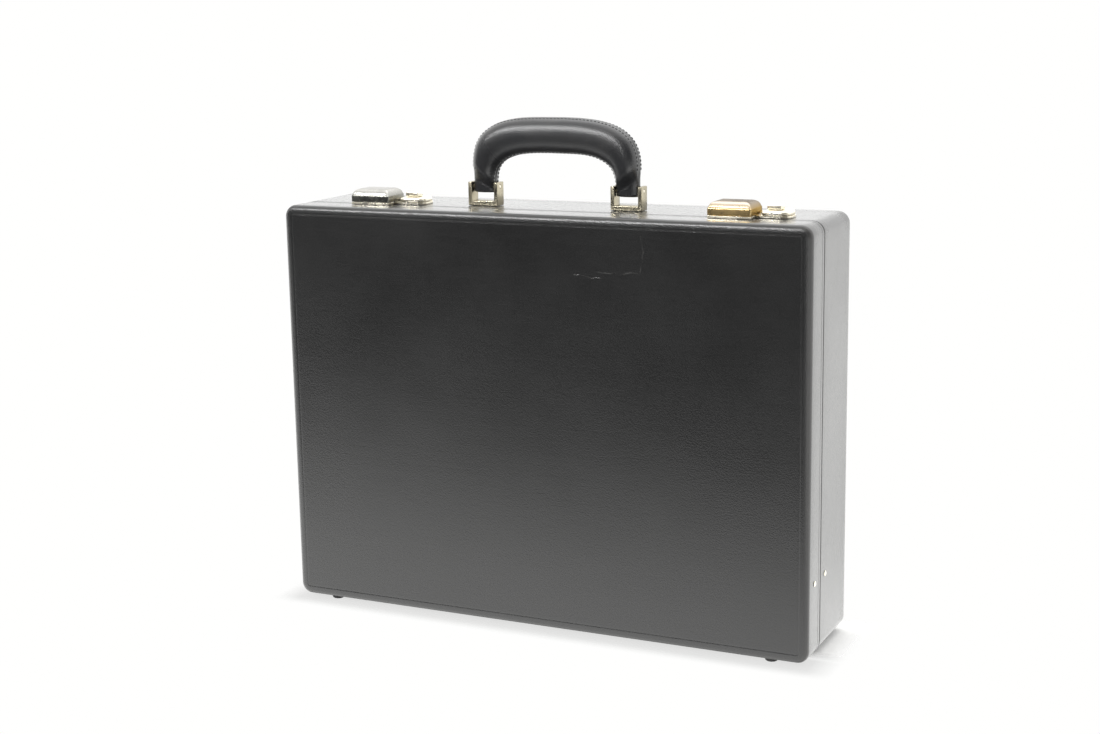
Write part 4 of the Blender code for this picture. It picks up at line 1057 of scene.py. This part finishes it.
def settled(rows, pinned_columns, pinned_low, pinned_high):
    """Let a slack sheet of suede find its folds, held at its seams, with Blender's cloth."""
    mesh = bpy.data.meshes.new("pocket_sheet")
    count = len(rows[0])
    points = [point for row in rows for point in row]
    faces = [(r * count + c, r * count + c + 1, (r + 1) * count + c + 1, (r + 1) * count + c)
             for r in range(len(rows) - 1) for c in range(count - 1)]
    mesh.from_pydata(points, [], faces)
    for vert in mesh.vertices:
        vert.co.y += 0.00025 * noise.noise(vert.co * 31.0)
    sheet = placed("pocket_sheet", mesh)
    held = [r * count + c for r in range(len(rows)) for c in range(count)
            if r < pinned_low or r >= len(rows) - pinned_high
            or c < pinned_columns or c >= count - pinned_columns]
    group = sheet.vertex_groups.new(name="held")
    group.add(held, 1.0, 'REPLACE')
    cloth = sheet.modifiers.new("cloth", 'CLOTH')
    for setting, value in CLOTH.items():
        setattr(cloth.settings, setting, value)
    cloth.settings.effector_weights.gravity = CLOTH_GRAVITY
    cloth.collision_settings.use_collision = False
    cloth.point_cache.frame_start = 1
    cloth.point_cache.frame_end = SIMULATED_FRAMES
    for number in range(1, SIMULATED_FRAMES + 1):
        SCENE.frame_set(number)
    shape = sheet.evaluated_get(bpy.context.evaluated_depsgraph_get())
    moved = [vert.co.copy() for vert in shape.data.vertices]
    SCENE.frame_set(1)
    bpy.data.objects.remove(sheet)
    result = []
    for number, row in enumerate(rows):
        settled_row = []
        for column, start in enumerate(row):
            shift = moved[number * count + column] - start
            kept = [min(max(part, low), high) for part, (low, high) in zip(shift, SETTLE_LIMITS)]
            settled_row.append(start + Vector(kept))
        result.append(settled_row)
    return result


def thin_sheet(rows, thickness):
    """A closed thin skin from rows of points, its thickness going inward."""
    bm = bmesh.new()
    layer = bm.verts.layers.float.new("wear")
    grid = [[bm.verts.new(point) for point in row] for row in rows]
    for near, far in zip(grid, grid[1:]):
        for index in range(len(near) - 1):
            bm.faces.new((near[index], near[index + 1], far[index + 1], far[index]))
    for vert in grid[-1]:
        vert[layer] = 0.8
    bmesh.ops.recalc_face_normals(bm, faces=bm.faces)
    middle = grid[len(grid) // 2][len(grid[0]) // 2]
    middle.normal_update()
    if middle.normal.y < 0:
        bmesh.ops.reverse_faces(bm, faces=bm.faces)
    bmesh.ops.solidify(bm, geom=bm.faces[:], thickness=thickness)
    return bm


def hem_ring(before, point, after):
    """The hem's section where its top edge runs through a point."""
    across = (after - before).normalized().cross(Vector((0, 0, 1))).normalized()
    centre = point + Vector((0, 0, -HEM_HEIGHT / 2 + 0.0004)) - across * (POCKET_THICKNESS / 2)
    section = rounded_rect(HEM_THICKNESS / 2, HEM_HEIGHT / 2, HEM_THICKNESS * 0.48, 2, 4, 4)
    return [centre + across * a + Vector((0, 0, b)) for a, b in section]


def pocket_seams(low, high):
    """(x, z) along the seam under the hem, and along the one down the sides and the bottom."""
    inner = high.x - 0.0065
    bottom = low.z + 0.0130
    hem_low = high.z - HEM_HEIGHT + 0.0016
    side_top = hem_low - 0.004
    places = [inner - 2 * inner * k / SEAM_STEPS for k in range(SEAM_STEPS + 1)]
    heights = [bottom + (side_top - bottom) * k / SIDE_SEAM_STEPS for k in range(SIDE_SEAM_STEPS + 1)]
    under_hem = [(x, hem_low - POCKET_DIP * (1 - (x / high.x) ** 2)) for x in places]
    down = [(inner, z) for z in reversed(heights)]
    along = [(x, bottom) for x in places[1:]]
    up = [(-inner, z) for z in heights[1:]]
    return under_hem, down + along + up


def lid_pocket():
    """The lid's document pocket: a slack suede front, pleated sides, a bound hem and its seams."""
    rows = pocket_grid()
    rows = settled(rows, len(POCKET_SIDE) - 1, 3, 4)
    pocket = finish_piece("lid_pocket_suede", thin_sheet(rows, POCKET_THICKNESS), "suede_lining", "lid",
                          ("lid_pocket",))
    top = rows[-1]
    first = len(POCKET_SIDE) - 5
    hem_rings = [hem_ring(*top[index - 1:index + 2]) for index in range(first, len(top) - first)]
    hem = bmesh.new()
    loft(hem, hem_rings, [0.35] * len(hem_rings), cap_start=True, cap_end=True)
    hem_piece = finish_piece("lid_pocket_binding", hem, "black_edge_leather", "lid")
    tree = tree_over(pocket, hem_piece)
    low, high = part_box("lid_pocket")
    seams = bmesh.new()
    for run in pocket_seams(low, high):
        points = [Vector((x, high.y + 0.010, z)) for x, z in run]
        line, normals = surface_line(tree, points, [Vector((0, -1, 0))] * len(points))
        stitch_line(seams, line, normals, *POCKET_STITCH)
    seam_piece = finish_piece("lid_pocket_stitching", seams, "brown_thread", "lid")


lid_pocket()


# ---- floor, light and camera

FLOOR_SIZE = 9.0
FLOOR_FADE = (-0.82, 0.0)
FLOOR_SLANT = 0.22
FLOOR_RIGHT = 0.94
FLOOR_BEHIND = 0.76
FLOOR_GLOW = 1.60
FLOOR_FAR = (0.03, 0.03, 0.03)
FLOOR_NEAR = (0.20, 0.20, 0.198)
FLOOR_SHOWN = 0.024
FLOOR_SHOWN_SHARE = 0.85
# Width and strength of the painted contact shadow in front of the case.
FLOOR_SHOWN_FRONT = 0.018
FLOOR_SHOWN_FRONT_SHARE = 0.28
SKY_BRIGHT = 1.48
SKY_DARK = 0.06


def make_floor():
    """The pale studio floor, which also glows as a light. It shows close to the case only, so a lid let
    down past it is seen; in front it shows as a painted contact shadow.
    """
    bm = bmesh.new()
    bmesh.ops.create_grid(bm, x_segments=1, y_segments=1, size=FLOOR_SIZE)
    mesh = mesh_from("floor", bm)
    placed("floor", mesh)
    s = Shader("pale_floor", FLOOR_NEAR, 0.9, Specular_IOR_Level=0.0)
    x, y, _ = s.axes()
    slanted = s.minus(y, s.times(x, FLOOR_SLANT))
    near = s.ramp(slanted, FLOOR_FADE[0], FLOOR_FADE[1], smooth=True)
    near = s.most(near, s.ramp(x, SIDE, SIDE + 0.30, 0.0, FLOOR_RIGHT, smooth=True))
    behind = s.ramp(y, 0.0, 0.35, 1.0, FLOOR_BEHIND, smooth=True)
    out_x = s.minus(s.math('ABSOLUTE', x), SIDE)
    out_y = s.minus(s.math('ABSOLUTE', y), BACK_Y)
    # The glow is cut out under the case, fading in at its edge: painted shade.
    outside_painted_shade = s.ramp(s.most(out_x, out_y), -0.012, 0.004, smooth=True)
    glow = s.times(s.times(near, behind), outside_painted_shade)
    s.fill(s.bsdf, Base_Color=s.mix(near, FLOOR_FAR, FLOOR_NEAR), Emission_Color=(1.0, 1.0, 0.985, 1.0),
           Emission_Strength=s.times(glow, FLOOR_GLOW))
    grain = s.ramp(s.noise(160.0, 4.0), 0.3, 0.7)
    paper = s.mix(grain, (0.86, 0.86, 0.85), (0.90, 0.90, 0.89))
    # In front of the parting line the floor that the camera sees is mid grey: a painted contact shadow
    # along the case's front edge.
    before = s.ramp(y, PARTING_Y - 0.010, PARTING_Y + 0.010, 1.0, 0.0)
    paper = s.mix(before, paper, (0.20, 0.20, 0.20))
    shown = s.fill(s.add("ShaderNodeBsdfDiffuse"), Color=paper).outputs[0]
    clear = s.add("ShaderNodeBsdfTransparent").outputs[0]
    outside = s.most(s.most(out_x, out_y), 0.0)
    close = s.ramp(outside, 0.0, FLOOR_SHOWN, FLOOR_SHOWN_SHARE, 0.0, smooth=True)
    # How strongly that painted shadow shows, fading out within a short way of the front edge.
    from_front = s.minus(-BACK_Y, y)
    front_painted_shadow = s.ramp(from_front, 0.0, FLOOR_SHOWN_FRONT, FLOOR_SHOWN_FRONT_SHARE, 0.0, smooth=True)
    front_painted_shadow = s.times(front_painted_shadow, before)
    close = s.times(close, s.minus(1.0, before))
    in_line = s.ramp(out_x, 0.0, 0.02, 1.0, 0.0)
    close = s.most(close, s.times(front_painted_shadow, in_line))
    seen = s.blend(close, clear, shown)
    camera_ray = s.add("ShaderNodeLightPath").outputs["Is Camera Ray"]
    lighting = s.blend(camera_ray, s.bsdf.outputs[0], seen)
    from_below = s.add("ShaderNodeNewGeometry").outputs["Backfacing"]
    either = s.blend(from_below, lighting, clear)
    s.link(either, s.tree.nodes["Material Output"].inputs["Surface"])
    mesh.materials.append(s.material)


make_floor()


def area_light(name, place, target, size, power):
    data = bpy.data.lights.new(name, 'AREA')
    data.shape = 'RECTANGLE'
    data.size, data.size_y = size
    data.energy = power
    light = placed(name, data)
    light.location = place
    light.rotation_mode = 'QUATERNION'
    light.rotation_quaternion = (Vector(target) - Vector(place)).to_track_quat('-Z', 'Y')


def sky():
    """A white studio, dim only low on the side the lid faces; the backdrop itself shows white."""
    world = bpy.data.worlds.new("studio")
    SCENE.world = world
    world.use_nodes = True
    s = Nodes(world.node_tree, "Generated")
    _, y, z = s.axes()
    forward = s.ramp(s.times(y, -1.0), 0.05, 0.55, smooth=True)
    low = s.minus(1.0, s.ramp(z, 0.50, 0.92, smooth=True))
    light = s.plus(s.times(s.times(forward, low), SKY_DARK - SKY_BRIGHT), SKY_BRIGHT)
    camera_ray = s.add("ShaderNodeLightPath").outputs["Is Camera Ray"]
    shown = s.plus(light, s.times(camera_ray, s.minus(1.0, light)))
    s.fill(s.tree.nodes["Background"], Strength=shown, Color=(1.0, 1.0, 0.992, 1.0))
    world.cycles.sampling_method = 'MANUAL'
    world.cycles.sample_map_resolution = 512


sky()
area_light("overhead", (0.2, 0.5, 1.8), (0.0, 0.0, 0.15), (1.8, 1.6), 12.0)
area_light("front_strip", (-0.80, -1.66, 1.30), (0.0, 0.0, 0.36), (1.6, 0.10), 36.0)

AZIMUTH = radians(25.55)
ELEVATION = radians(11.62)
ROLL = radians(-1.0)
CAMERA_PLACE = Vector((0.5847, -1.2408, 0.4801))
FOCAL_LENGTH = 59.5


def make_camera():
    data = bpy.data.cameras.new("camera")
    data.lens = FOCAL_LENGTH
    data.sensor_width = 36.0
    data.clip_start = 0.01
    data.clip_end = 50.0
    camera = placed("camera", data)
    back = Vector((sin(AZIMUTH) * cos(ELEVATION), -cos(AZIMUTH) * cos(ELEVATION), sin(ELEVATION)))
    ahead = -back
    right = ahead.cross(Vector((0, 0, 1))).normalized()
    up = right.cross(ahead)
    tilted_right = right * cos(ROLL) + up * sin(ROLL)
    tilted_up = -right * sin(ROLL) + up * cos(ROLL)
    turn = Matrix((tilted_right, tilted_up, back)).transposed()
    camera.matrix_world = Matrix.Translation(CAMERA_PLACE) @ turn.to_4x4()
    SCENE.camera = camera


make_camera()
SCENE.view_settings.view_transform = 'Standard'
